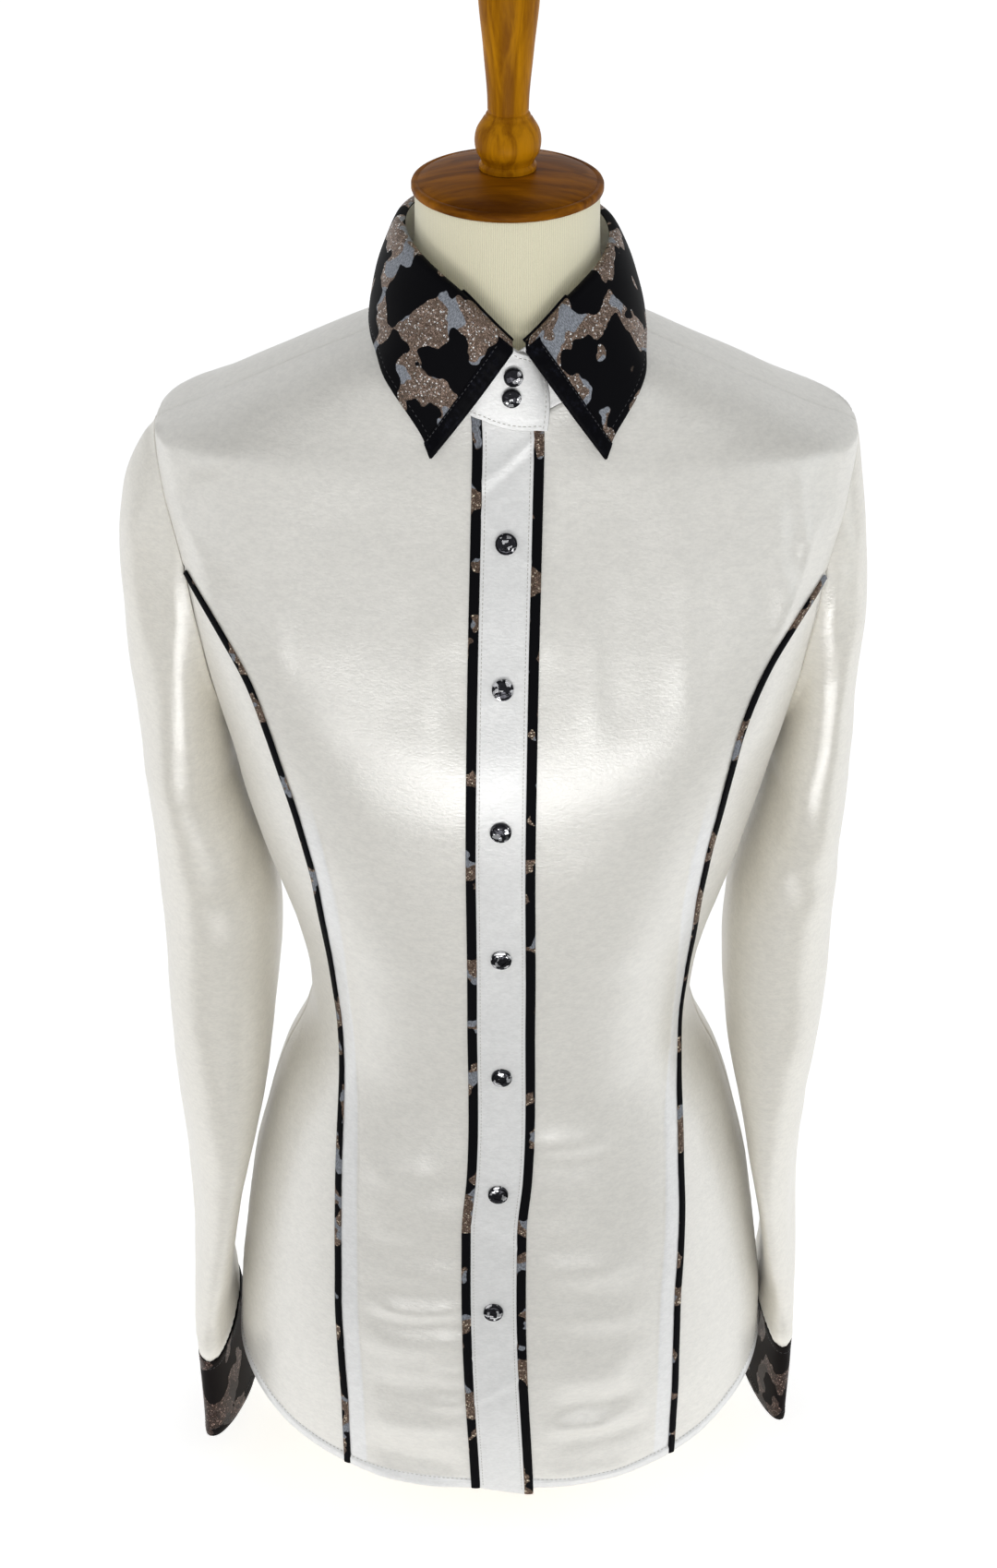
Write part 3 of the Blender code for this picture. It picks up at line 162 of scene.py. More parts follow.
# the body's surface: excess is above 0 outside it
def excess(point):
    x, y, z = point[..., 0], point[..., 1], point[..., 2]
    half, square = read(bodySections, 1, z), read(bodySections, 4, z)
    reach = np.where(y < 0, read(bodySections, 2, z), read(bodySections, 3, z))
    total = (np.abs(x) / half) ** square + (np.abs(y) / reach) ** square
    return np.maximum(total, 1e-9) ** (1 / square) - 1


def gradient(point, size=1e-5):
    out = np.empty_like(point)
    for axis in range(3):
        step = np.zeros(3)
        step[axis] = size
        out[..., axis] = (excess(point + step) - excess(point - step)) / (2 * size)
    return out


def bodyNormal(point):
    return unit(gradient(np.asarray(point, float)))


def ontoBody(point, turns=7, longest=0.02):
    point = np.array(point, float)
    for _ in range(turns):
        slope = gradient(point)
        step = -excess(point)[..., None] * slope / np.maximum((slope**2).sum(-1, keepdims=True), 1.0)
        size = np.linalg.norm(step, axis=-1, keepdims=True)
        point = point + step * np.minimum(1.0, longest / np.maximum(size, 1e-9))
    return point


def sectionAt(z, facing):
    return [read(bodySections, column, z) for column in (1, 2 if facing < 0 else 3, 4)]


def atWidth(x, z, facing=-1):
    half, reach, square = sectionAt(z, facing)
    leftOver = np.maximum(1 - (np.abs(x) / half) ** square, 0.0)
    return stacked(x, facing * reach * leftOver ** (1 / square), z)


def atAngle(angle, z):
    point = stacked(np.sin(angle), -np.cos(angle), z) * np.array([0.05, 0.05, 1.0])
    scale = 1 / (1 + excess(point))[..., None]
    return point * np.concatenate([scale, scale, np.ones_like(scale)], axis=-1)


# seams, each from its lower or inner end, for x > 0
def hemHeight(x):
    half = read(bodySections, 1, 0.06)
    return cut["hemMiddle"] + cut["hemRise"] * np.minimum(np.abs(x) / half, 1.0) ** 4


def neckHeight(angle):
    ahead = np.cos(angle)
    drop, rise = cut["neckFrontDrop"], cut["neckBackRise"]
    return cut["neckSide"] - drop * np.maximum(ahead, 0) ** 3 + rise * np.minimum(ahead, 0) ** 2


def neckPoint(angle):
    return atAngle(angle, neckHeight(np.asarray(angle, float)))


def armhole(share, facing):
    share = np.asarray(share, float)
    z = cut["shoulderTip"][2] - share * cut["armholeDepth"]
    y = facing * cut["armholeReach"][facing] * np.sin(math.pi * np.clip(share, 0, 1)) ** 0.55
    half, reach, square = sectionAt(z, facing)
    return stacked(half * (1 - (np.abs(y) / reach) ** square) ** (1 / square), y, z)


def spaced(points, spans, growth=1.0):
    length = lengthAlong(points)
    return pointsAt(length[-1] * np.linspace(0, 1, spans + 1) ** growth, length, points)


def armholeFrontUpper(spans):
    return spaced(armhole(cut["notch"] * np.linspace(0, 1, 900) ** 1.6, -1), spans, 1.15)


def armholeFrontLower(spans):
    share = 1 - (1 - np.linspace(0, 1, 900)) ** 1.6
    return spaced(armhole(cut["notch"] + (1 - cut["notch"]) * share, -1), spans)


def armholeBack(spans):
    return spaced(armhole(0.5 - 0.5 * np.cos(math.pi * np.linspace(0, 1, 1500)), 1), spans, 1.15)


def rowShares(rows, hemShare=0.015):
    # rows closer together in the hem's last 8 mm
    return np.concatenate([np.linspace(0, hemShare, 9), np.linspace(hemShare, 1, rows - 7)[1:]])


def princessSeam(side):
    column = 1 if side == "right" else 2
    top = armhole(cut["notch"], -1)
    low = float(hemHeight(read(princessLine, column, 0.055)))
    z = low + rowShares(cloth["rowsToJunction"]) * (top[2] - low)
    toTop = np.clip((z - cut["bendFrom"]) / (top[2] - cut["bendFrom"]), 0, 1) ** 1.5
    x = read(princessLine, column, z) + (top[0] - read(princessLine, column, top[2])) * toTop
    points = atWidth(x, z)
    points[-1] = top
    return points


def sideSeam():
    low = cut["hemMiddle"] + cut["hemRise"]
    z = low + rowShares(cloth["rowsToJunction"]) * (cut["shoulderTip"][2] - cut["armholeDepth"] - low)
    return stacked(read(bodySections, 1, z), 0.0, z)


def shoulderSeam():
    tip, neck = cut["shoulderTip"], neckPoint(cut["neckShoulderAngle"])
    share = np.linspace(0, 1, cloth["shoulderSpans"] + 1)
    x, y = tip[0] + (neck[0] - tip[0]) * share, neck[1] * share
    low, high = np.full(x.shape, 0.680), np.full(x.shape, 0.7550)
    for _ in range(40):
        z = (low + high) / 2
        outside = excess(stacked(x, y, z)) > 0
        high, low = np.where(outside, z, high), np.where(outside, low, z)
    points = stacked(x, y, (low + high) / 2)
    points[0], points[-1] = tip, neck
    return points


def centreShares():
    upper = armholeFrontUpper(cloth["rowsAbove"])[::-1][1:, 2]
    seam = np.concatenate([princessSeam("right")[:, 2], upper])
    share = (seam - seam[0]) / (seam[-1] - seam[0])
    return 0.35 * share + 0.65 * rowShares(len(share) - 1)


def centreColumn(x):
    share = centreShares()
    low, high = hemHeight(x), neckHeight(math.atan2(abs(x), cut["neckReach"]))
    return atWidth(np.full_like(share, x), low + share * (high - low))


def drifted(point, top=0.735):
    # the front's middle hangs a little off the plumb line
    point = np.array(point, float)
    near = bell(point[..., 0], 0.06) * (point[..., 1] < 0)
    point[..., 0] += read(frontDrift, 1, point[..., 2]) * near * ease((top - point[..., 2]) / 0.04)
    y = atWidth(point[..., 0], np.clip(point[..., 2], 0.04, top))[..., 1]
    moved = (near > 0.02) & (point[..., 2] < top)
    point[..., 1] = np.where(moved, y, point[..., 1])
    return point


# folds are soft ridges, height above 0, and troughs that the cloth hangs in; millimetres
# from x, height to x, height, how far the middle sags, half width, rise; all on the front
frontFolds = [
    # drags across the stomach, wearer's right
    (-78, 177.5, -18, 183, 4.5, 5, 1.6), (-78, 170, -18, 175.5, 5, 3.8, -0.8),
    (-77, 265.5, -35, 275, 2, 7, 1.2), (-77, 229, -33, 233, 1, 6, 0.6), (-77, 202, -21, 206, 1, 6.5, 0.7),
    (-39, 158, -16.8, 160, 0, 2.2, 0.5), (-36, 149, -16.8, 151.5, 0, 2.2, 0.5),
    (-40, 140, -16.8, 143, 0, 2.5, 0.6), (-36, 128, -16.8, 130, 0, 2.8, 0.4),
    (-41, 109, -16.8, 113, 0, 3, 0.7), (-80, 90, -18, 96, 2, 5.5, 1), (-82, 70, -19, 64, 1, 5, -1.2),
    (-83, 152, -18, 159, 4, 6, 0.9), (-83, 120, -18, 126, 4, 6, -0.8), (-80, 246, -20, 252, 3, 8, 0.8),
    (-85, 52, -20, 47, 2, 5.5, 0.9),
    # and on the left
    (16.5, 296, 64, 293, 1, 6, 1), (17, 285, 62, 281, 1, 6, -0.7), (20, 152, 88, 140, 4, 7, 0.9),
    (20, 215, 82, 205, 3, 8, 0.8), (19, 60, 90, 56, 2, 5.5, 0.9), (26, 179, 86, 168, 2, 6, 0.8),
    (30, 133, 80, 128, 3, 6.5, 1.1), (32, 110, 85, 111, 3, 4.5, -1.3), (30, 95, 72, 93, 1, 4, 1.2),
    (26, 82, 96, 86, 2, 4, -1), (24, 235, 50, 233, 1, 6, 0.4), (22, 206, 70, 204, 1, 6, 0.4),
    # long soft folds down the chest
    (89, 695, 93, 556, 0, 6, 0.7), (75, 660, 78, 570, 0, 7, -0.4), (44, 640, 46, 552, 0, 5, 0.6),
    (59, 635, 60, 550, 0, 6, -0.4), (29, 713, 22.5, 640, 0, 2.8, 0.9), (22.5, 642, 21.5, 590, 0, 2.8, 0.6),
    (25, 708, 19, 630, 0, 2.4, -0.6), (154, 686, 154, 635, 0, 4, 1), (144, 678, 145.5, 606, 0, 4.5, 0.8),
    (149.5, 670, 150, 620, 0, 4, -0.7), (164, 665, 139, 590, 0, 4.5, 1.4),
    (-36.5, 625, -36.5, 556, 0, 6, 0.7), (-26, 605, -25, 560, 0, 5, -0.4),
    (-118, 630, -119, 580, 0, 6, 0.6), (-166, 678, -140, 690, 0, 4.5, 0.7),
    (-169, 656, -145, 625, 0, 6, 0.9), (-156, 642, -140, 608, 0, 5, -0.6),
]
# the same on the back, where the wearer's right is still at -x
backFolds = [
    (-95, 335, -15, 342, 4, 7, 1.3), (98, 342, 20, 335, 4, 7, 1.2), (-90, 318, -30, 320, 3, 6, -0.9),
    (80, 319, 10, 323, 3, 6, -0.8), (-85, 364, -20, 360, 3, 6, 0.8), (90, 372, 35, 364, 3, 6, 0.9),
    (-150, 530, -70, 470, 5, 8, 1.2), (148, 535, 78, 480, 5, 8, 1.1), (-138, 505, -70, 450, 5, 7, -0.8),
    (140, 508, 80, 458, 5, 7, -0.8), (-156, 650, -125, 560, 0, 7, 1), (156, 648, 126, 565, 0, 7, 1),
    (-70, 690, -80, 600, 0, 9, 0.6), (62, 695, 70, 610, 0, 9, 0.5), (-90, 150, -20, 156, 4, 7, 0.9),
    (85, 138, 10, 134, 4, 7, 1), (-40, 115, 50, 118, 3, 6, 0.7), (-110, 250, -50, 230, 3, 8, 0.7),
    (112, 245, 45, 235, 3, 8, 0.6), (-130, 98, -50, 80, 1, 5, -0.8), (120, 92, 40, 80, 1, 5, -0.8),
]
foldLook = {"width": 1.45, "height": 2.1, "fade": 0.30}     # fade is the share that dies away at each end
slackWaves = ((0.16, 0.00050), (0.09, 0.00032), (0.05, 0.00016), (0.028, 0.00007))     # length, height


def addFold(rise, point, line, width, height):
    # a soft line on the surface that dies away at both ends
    t = np.linspace(0, 1, len(line))
    fade = ease(t / foldLook["fade"]) * ease((1 - t) / foldLook["fade"])
    near = np.all((point > line.min(axis=0) - 3 * width) & (point < line.max(axis=0) + 3 * width), axis=-1)
    apart = np.linalg.norm(point[near][:, None] - line[None], axis=-1)
    rise[near] += height * (bell(apart, width) * fade).max(axis=1)


def foldRise(point, folds, facing):
    rise = np.zeros(point.shape[:-1])
    t = np.linspace(0, 1, 25)
    for x1, z1, x2, z2, sag, width, height in np.array(folds) / 1000:
        line = atWidth(x1 + (x2 - x1) * t, z1 + (z2 - z1) * t - sag * 4 * t * (1 - t), facing)
        addFold(rise, point, line, width * foldLook["width"], height * foldLook["height"])
    return rise


def slackRise(point, seed, size=1.0):
    # low waves at several sizes, so that no stretch of cloth is perfectly smooth
    dice = np.random.default_rng(seed)
    rise = np.zeros(point.shape[:-1])
    for length, height in slackWaves:
        for _ in range(4):
            way = unit(dice.normal(size=3) * np.array([1.0, 0.7, 1.0]))
            phase = dice.uniform(0, 2 * math.pi)
            wave = 2 * math.pi * (point @ way) / length * dice.uniform(0.8, 1.25)
            rise += 0.5 * height * np.sin(wave + phase)
    return rise * size


def alongSeam(point, line, batch=4000):
    # each point's distance to the seam, and how far along the seam that is
    length, flat = lengthAlong(line), point.reshape(-1, 3)
    apart, along = np.empty(len(flat)), np.empty(len(flat))
    for k in range(0, len(flat), batch):
        d = np.linalg.norm(flat[k:k + batch, None] - line[None], axis=-1)
        j = d.argmin(axis=1)
        apart[k:k + batch], along[k:k + batch] = d[np.arange(len(j)), j], length[j]
    return apart.reshape(point.shape[:-1]), along.reshape(point.shape[:-1])


seam = {
    "depth": 0.00055,
    "width": 0.0014,
    "pucker": 0.00012,
    "shoulderPucker": 0.00008,
    "puckerLengths": (0.0085, 0.0113, 0.0161),
    "puckerAt": 0.003,         # how far beside the seam it is strongest
    "puckerWidth": 0.007,
}


def seamRise(point, line, seed, pucker=seam["pucker"]):
    # the cloth turns in at a seam and puckers a little beside it
    apart, along = alongSeam(point, line)
    dice = np.random.default_rng(seed)
    wave = np.zeros_like(along)
    for length in seam["puckerLengths"]:
        wave += np.sin(2 * math.pi * along / length + dice.uniform(0, 6.28)) / 3
    beside = bell(apart - seam["puckerAt"], seam["puckerWidth"])
    return -seam["depth"] * bell(apart, seam["width"]) + pucker * wave * beside


# looks
socketNames = {
    "colour": "Base Color",
    "metallic": "Metallic",
    "roughness": "Roughness",
    "specular": "Specular IOR Level",
    "ior": "IOR",
    "sheen": "Sheen Weight",
    "sheenRoughness": "Sheen Roughness",
    "coat": "Coat Weight",
    "coatRoughness": "Coat Roughness",
}
black, nearBlack = (0.0030, 0.0030, 0.0042, 1), (0.010, 0.008, 0.008, 1)
satin = {
    "single": (0.925, 0.896, 0.822, 1.0),
    "doubled": (0.960, 0.958, 0.948, 1.0),     # where a second layer shows through
    # painted light: the sleeves' copy is warmer, for the warm light that passes through the single layer and
    # bounces in the sleeves' shade
    "sleeve": (0.935, 0.893, 0.790, 1.0),
    "faced": (0.950, 0.948, 0.935, 1.0),
    "facedDoubled": (0.96, 0.96, 0.95, 1.0),
    "ior": 3.3,
    "sheen": 0.30,
    "sheenRoughness": 0.45,
    "smoothest": 0.250,        # roughness, before the grain adds to it
    "grainScale": 900.0,
    "slubScale": 330.0,
    "cloudScale": 24.0,        # broad changes of roughness
    "grainDepth": 0.00030,
    "hollowShade": 0.865,          # painted shade: brightness left in the grain's hollows, between the threads
}
leopard = {
    "blobScale": 40.0,         # blotches to the metre
    "lobeScale": 60.0,
    "wander": 0.013,           # how far the blotches' edges stray
    "wanderScale": 85.0,
    "greyScale": 52.0,
    "greyShare": 0.572,        # a higher value leaves fewer grey patches
    "glitterScale": 1250.0,
    "threadScale": 2100.0,
    "pale": (0.36, 0.30, 0.29, 1),
    "depth": 0.00016,
}
# black, bronze, grey, how metallic the bronze is; then the print's scale and share of black
prints = {
    "collar": (black, (0.74, 0.53, 0.41, 1), (0.34, 0.365, 0.415, 1), 0.80),
    # painted shade: the cuffs' copy of the lamé is far darker and browner than the collar's
    "cuff": (nearBlack, (0.130, 0.064, 0.042, 1), (0.050, 0.040, 0.038, 1), 0.50),
    "piping": (black, (0.50, 0.34, 0.25, 1), (0.27, 0.29, 0.33, 1), 0.80, 1.3, 0.24),
}
blackSatin = {
    "dark": (0.0015, 0.0015, 0.0028, 1),
    "frost": (0.011, 0.012, 0.020, 1),
    "frostScale": 420.0,
    "depth": 0.00015,
}
jersey = {
    "colour": (1.0, 0.945, 0.700, 1.0),
    "roughness": 0.88,
    "specular": 0.25,
    "sheen": 0.55,
    "ribs": 268.0,             # a turn's ribs, times 2 pi
    "grooveShade": 0.87,           # painted shade: brightness in the grooves between the ribs
    "knitScale": 1600.0,
    "depth": 0.00022,
}
# dark and light colour, stretch of the grain, its scale, roughness
woods = {
    "walnut_cap": ((0.060, 0.013, 0.001, 1), (0.390, 0.135, 0.002, 1), (0.16, 1.0, 1.0), 60.0, 0.42),
    "turned_wood": ((0.200, 0.060, 0.001, 1), (0.600, 0.250, 0.003, 1), (1.0, 1.0, 0.10), 120.0, 0.36),
}
poreDepth = 0.00012
metal = {
    # the facets' colours are painted reflections: dark is the metal's dark tone darkened further as a painted
    # reflection, paintedGlint a painted bright glint
    "dark": (0.012, 0.012, 0.015, 1),
    "worn": (0.055, 0.055, 0.062, 1),
    "paintedGlint": (0.78, 0.78, 0.80, 1),
    "facetScale": 430.0,
    "wornScale": 900.0,
    "depth": 0.00025,
}
thread = {
    # painted shade: the ivory thread is greyed well below the cloth, so that the sewn lines show as thin
    # shadowed grooves
    "ivory": (0.60, 0.585, 0.545, 1),
    "dark": (0.020, 0.020, 0.024, 1),
    "scale": 4200.0,
    "depth": 0.00008,
}


def newLook(name, **values):
    material = bpy.data.materials.new(name)
    material.use_nodes = True
    tree = material.node_tree
    surface = tree.nodes["Principled BSDF"]
    for socket, value in values.items():
        surface.inputs[socketNames[socket]].default_value = value
    return material, tree, surface


def feed(tree, surface, **values):
    for socket, value in values.items():
        tree.links.new(value, surface.inputs[socketNames[socket]])


def node(tree, kind, inputs=None, out=0, **settings):
    made = tree.nodes.new("ShaderNode" + kind)
    for key, value in settings.items():
        setattr(made, key, value)
    for key, value in (inputs or {}).items():
        if isinstance(value, bpy.types.NodeSocket):
            tree.links.new(value, made.inputs[key])
        else:
            made.inputs[key].default_value = value
    return made.outputs[out]


def maths(tree, operation, a, b=0.0, c=0.0):
    return node(tree, "Math", {0: a, 1: b, 2: c}, operation=operation)


def times(tree, a, b, plus=None):
    return maths(tree, "MULTIPLY", a, b) if plus is None else maths(tree, "MULTIPLY_ADD", a, b, plus)


def blend(tree, share, a, b):
    # sockets 0, 6, 7 and 2 are a colour mix's share, its two colours and its result
    return node(tree, "Mix", {0: share, 6: a, 7: b}, 2, data_type="RGBA")


def ramp(tree, value, low, high):
    inputs = {"Value": value, "From Min": low, "From Max": high}
    return node(tree, "MapRange", inputs, interpolation_type="SMOOTHSTEP")


def mapped(tree, place, **values):
    inputs = {key.capitalize(): value for key, value in values.items()}
    return node(tree, "Mapping", {"Vector": place, **inputs})


def noise(tree, place, scale, detail=2.0, roughness=0.5, distortion=0.0, out=0):
    inputs = {"Vector": place, "Scale": scale, "Detail": detail}
    return node(tree, "TexNoise", {**inputs, "Roughness": roughness, "Distortion": distortion}, out)


def split(tree, value, kind="XYZ"):
    made = tree.nodes.new("ShaderNodeSeparate" + kind)
    tree.links.new(value, made.inputs[0])
    return made.outputs


def objectPlace(tree):
    return node(tree, "TexCoord", out=3)


def flatPlace(tree):
    return node(tree, "UVMap", uv_map="cloth")


def bump(tree, surface, height, distance, strength):
    made = node(tree, "Bump", {"Height": height, "Distance": distance, "Strength": strength})
    tree.links.new(made, surface.inputs["Normal"])


def toned(colour, share, plus=0.0):
    return tuple(min(1.0, c * share + plus) for c in colour[:3]) + (1.0,)


def satinLook(name, single, doubled, rougher=0.0):
    # charmeuse: a warm cloth under a broad cool sheen, broken up by its grain; u says where it lies doubled
    values = {key: satin[key] for key in ("ior", "sheen", "sheenRoughness")}
    look, tree, surface = newLook(name, roughness=0.36, **values)
    place = objectPlace(tree)
    stretched = mapped(tree, place, scale=(0.5, 0.5, 1.0))
    grain = noise(tree, stretched, satin["grainScale"], 2.5, 0.6)
    slub = noise(tree, stretched, satin["slubScale"])
    broad = noise(tree, place, satin["cloudScale"], 3.0)
    rough = times(tree, grain, 0.16, satin["smoothest"] + rougher)
    feed(tree, surface, roughness=maths(tree, "ADD", rough, times(tree, broad, 0.06)))
    bump(tree, surface, maths(tree, "ADD", grain, times(tree, slub, 0.7)), satin["grainDepth"], 0.55)
    colour = blend(tree, split(tree, flatPlace(tree))[0], single, doubled)
    # painted shade: the colour is darkened where the grain's bump is low
    shade = ramp(tree, times(tree, slub, 0.4, times(tree, grain, 0.6)), 0.30, 0.70)
    hollowShade = node(tree, "VectorMath", {0: colour, "Scale": satin["hollowShade"]}, operation="SCALE")
    feed(tree, surface, colour=blend(tree, shade, hollowShade, colour))
    return look


def leopardLook(name, black, bronze, grey, gloss, size=1.0, blackness=0.190):
    # lobed black blotches, a bronze glitter network between them and blue-grey patches beside them; each
    # glitter flake gets a painted brightness, a few painted as bright glints
    look, tree, surface = newLook(name, roughness=0.5)
    flat = flatPlace(tree)
    wander = noise(tree, flat, leopard["wanderScale"] * size, 1.5, out=1)
    wander = node(tree, "VectorMath", {0: wander, 1: (0.5, 0.5, 0.5)}, operation="SUBTRACT")
    wander = node(tree, "VectorMath", {0: wander, "Scale": leopard["wander"] / size}, operation="SCALE")
    drawn = node(tree, "VectorMath", {0: flat, 1: wander}, operation="ADD")
    spread = mapped(tree, drawn, scale=(1.15, 0.85, 1.0), rotation=(0, 0, 0.5))
    blobs = {"Vector": spread, "Scale": leopard["blobScale"] * size, "Smoothness": 0.25, "Randomness": 0.85}
    cells = node(tree, "TexVoronoi", blobs, feature="SMOOTH_F1")
    lobes = noise(tree, spread, leopard["lobeScale"] * size, 0.0)
    inside = times(tree, lobes, 0.80, times(tree, cells, -1.0))
    isBlack = ramp(tree, inside, -blackness - 0.008, -blackness + 0.008)
    moved = mapped(tree, drawn, location=(3.7, 1.9, 0.0))
    patches = noise(tree, moved, leopard["greyScale"] * size, 1.0)
    isGrey = ramp(tree, patches, leopard["greyShare"], leopard["greyShare"] + 0.012)
    flakes = {"Vector": flat, "Scale": leopard["glitterScale"]}
    glint, tint = split(tree, node(tree, "TexVoronoi", flakes, 1), "Color")[:2]
    edges = node(tree, "TexVoronoi", flakes, feature="DISTANCE_TO_EDGE")
    mixed = tuple(0.55 * c + 0.45 * g for c, g in zip(bronze, leopard["pale"]))
    # painted highlights: each flake a random brightness from dark to full bronze, then a few flakes painted
    # as bright glints
    foil = blend(tree, maths(tree, "POWER", glint, 2.2), toned(bronze, 0.26), blend(tree, tint, bronze, mixed))
    foil = blend(tree, ramp(tree, glint, 0.86, 0.97), foil, toned(bronze, 2.1, 0.16))
    foil = blend(tree, ramp(tree, edges, 0.02, 0.14), toned(bronze, 0.10), foil)
    threads = noise(tree, mapped(tree, flat, scale=(1.0, 0.30, 1.0)), leopard["threadScale"], 1.0)
    woven = blend(tree, ramp(tree, threads, 0.34, 0.66), toned(grey, 0.45), grey)
    shine = times(tree, maths(tree, "SUBTRACT", 1.0, isBlack), maths(tree, "SUBTRACT", 1.0, isGrey))
    feed(tree, surface, colour=blend(tree, isBlack, blend(tree, isGrey, foil, woven), black),
         metallic=times(tree, shine, gloss), roughness=times(tree, shine, -0.16, 0.60),
         specular=times(tree, isBlack, -0.35, 0.40))
    height = times(tree, threads, 0.35, times(tree, shine, ramp(tree, edges, 0.0, 0.22)))
    bump(tree, surface, times(tree, isBlack, -0.8, height), leopard["depth"], 0.75)
    return look


def blackSatinLook(name):
    look, tree, surface = newLook(name, roughness=0.42, specular=0.05)
    place = objectPlace(tree)
    frost = noise(tree, place, blackSatin["frostScale"], 4.0, 0.65)
    share = times(tree, ramp(tree, frost, 0.45, 0.75), ramp(tree, noise(tree, place, 70.0), 0.40, 0.65))
    feed(tree, surface, colour=blend(tree, share, blackSatin["dark"], blackSatin["frost"]))
    bump(tree, surface, frost, blackSatin["depth"], 0.5)
    return look


def jerseyLook(name):
    # fine upright ribs
    colour, values = jersey["colour"], {key: jersey[key] for key in ("roughness", "specular", "sheen")}
    look, tree, surface = newLook(name, colour=colour, sheenRoughness=0.5, **values)
    place = objectPlace(tree)
    axes = split(tree, place)
    x, y = [maths(tree, "SUBTRACT", axes[k], float(centre[k])) for k in (0, 1)]
    wander = noise(tree, place, 90.0)
    turn = maths(tree, "ARCTAN2", y, x)
    rib = maths(tree, "SINE", times(tree, turn, jersey["ribs"], times(tree, wander, 1.6)))
    knit = noise(tree, place, jersey["knitScale"])
    # painted shade: darker in the grooves between the ribs
    shade = ramp(tree, times(tree, knit, 0.8, times(tree, rib, 0.35)), 0.0, 0.85)
    feed(tree, surface, colour=blend(tree, shade, toned(colour, jersey["grooveShade"]), colour))
    bump(tree, surface, times(tree, rib, 0.5, knit), jersey["depth"], 0.6)
    return look


def woodLook(name, dark, light, along, scale, roughness):
    values = {"coat": 0.02, "coatRoughness": 0.30, "specular": 0.04}
    look, tree, surface = newLook(name, roughness=roughness, **values)
    place = mapped(tree, objectPlace(tree), scale=along)
    rings = noise(tree, place, scale, 5.0, 0.6, 0.6)
    pores = noise(tree, place, scale * 9, 3.0, 0.7)
    share = times(tree, ramp(tree, rings, 0.32, 0.68), 0.75, times(tree, pores, 0.30))
    rough = times(tree, pores, 0.18, roughness - 0.08)
    feed(tree, surface, colour=blend(tree, share, dark, light), roughness=rough)
    bump(tree, surface, pores, poreDepth, 0.35)
    return look


def metalLook(name):
    # dark cut metal: small facets painted as reflections, some as bright glints and some almost black
    look, tree, surface = newLook(name, metallic=1.0, roughness=0.12)
    place = objectPlace(tree)
    facets = {"Vector": place, "Scale": metal["facetScale"]}
    glint, height = split(tree, node(tree, "TexVoronoi", facets, 1, distance="CHEBYCHEV"), "Color")[:2]
    worn = noise(tree, place, metal["wornScale"], 3.0)
    colour = blend(tree, worn, metal["dark"], metal["worn"])
    colour = blend(tree, ramp(tree, glint, 0.72, 0.80), colour, metal["paintedGlint"])
    feed(tree, surface, colour=colour, roughness=times(tree, worn, 0.10, 0.06))
    bump(tree, surface, height, metal["depth"], 0.5)
    return look


def threadLook(name, colour):
    look, tree, surface = newLook(name, colour=colour, roughness=0.5, sheen=0.3)
    twist = noise(tree, objectPlace(tree), thread["scale"], 1.0)
    bump(tree, surface, twist, thread["depth"], 0.6)
    return look


ivory = satinLook("ivory_satin", satin["single"], satin["doubled"])
warmShadeSleeveIvory = satinLook("ivory_satin_sleeve_warm_shade", satin["sleeve"], satin["doubled"])
crispIvory = satinLook("ivory_satin_faced", satin["faced"], satin["facedDoubled"], 0.03)
collarPrint, shadedCuffPrint, pipingPrint = [leopardLook("leopard_lame_" + key, *prints[key]) for key in prints]
blackBand = blackSatinLook("black_satin_band")
ribbed = jerseyLook("ribbed_jersey")
capWood, finialWood = [woodLook(key, *woods[key]) for key in woods]
gunmetal = metalLook("gunmetal")
shadeGreyIvoryThread = threadLook("ivory_thread_shade_grey", thread["ivory"])
darkThread = threadLook("dark_thread", thread["dark"])
print("looks made")


# meshes
def addMesh(name, points, faces, slots, faceSlots=None, uv=None, smoothAngle=50.0):
    mesh = bpy.data.meshes.new(name)
    mesh.from_pydata((np.asarray(points, float) + centre).tolist(), [], faces)
    for look in slots:
        mesh.materials.append(look)
    if faceSlots is not None:
        mesh.polygons.foreach_set("material_index", np.asarray(faceSlots, np.int32))
    if uv is not None:
        layer = mesh.uv_layers.new(name="cloth")
        index = np.empty(len(mesh.loops), np.int32)
        mesh.loops.foreach_get("vertex_index", index)
        layer.data.foreach_set("uv", np.asarray(uv, np.float32)[index].ravel())
    mesh.validate()
    mesh.update()
    mesh.shade_smooth()
    mesh.set_sharp_from_angle(angle=math.radians(smoothAngle))
    piece = bpy.data.objects.new(name, mesh)
    bpy.context.collection.objects.link(piece)
    return piece


def wear(piece, slotName, *nodes):
    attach(piece, "root")
    if nodes:
        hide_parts(*nodes)


def rimLoops(rows, columns, wrap):
    around = [(0, c) for c in range(columns)]
    if wrap:
        return [around, [(rows - 1, c) for c in range(columns)][::-1]]
    right = [(r, columns - 1) for r in range(1, rows)]
    over = [(rows - 1, c) for c in range(columns - 2, -1, -1)]
    left = [(r, 0) for r in range(rows - 2, 0, -1)]
    return [around + right + over + left]


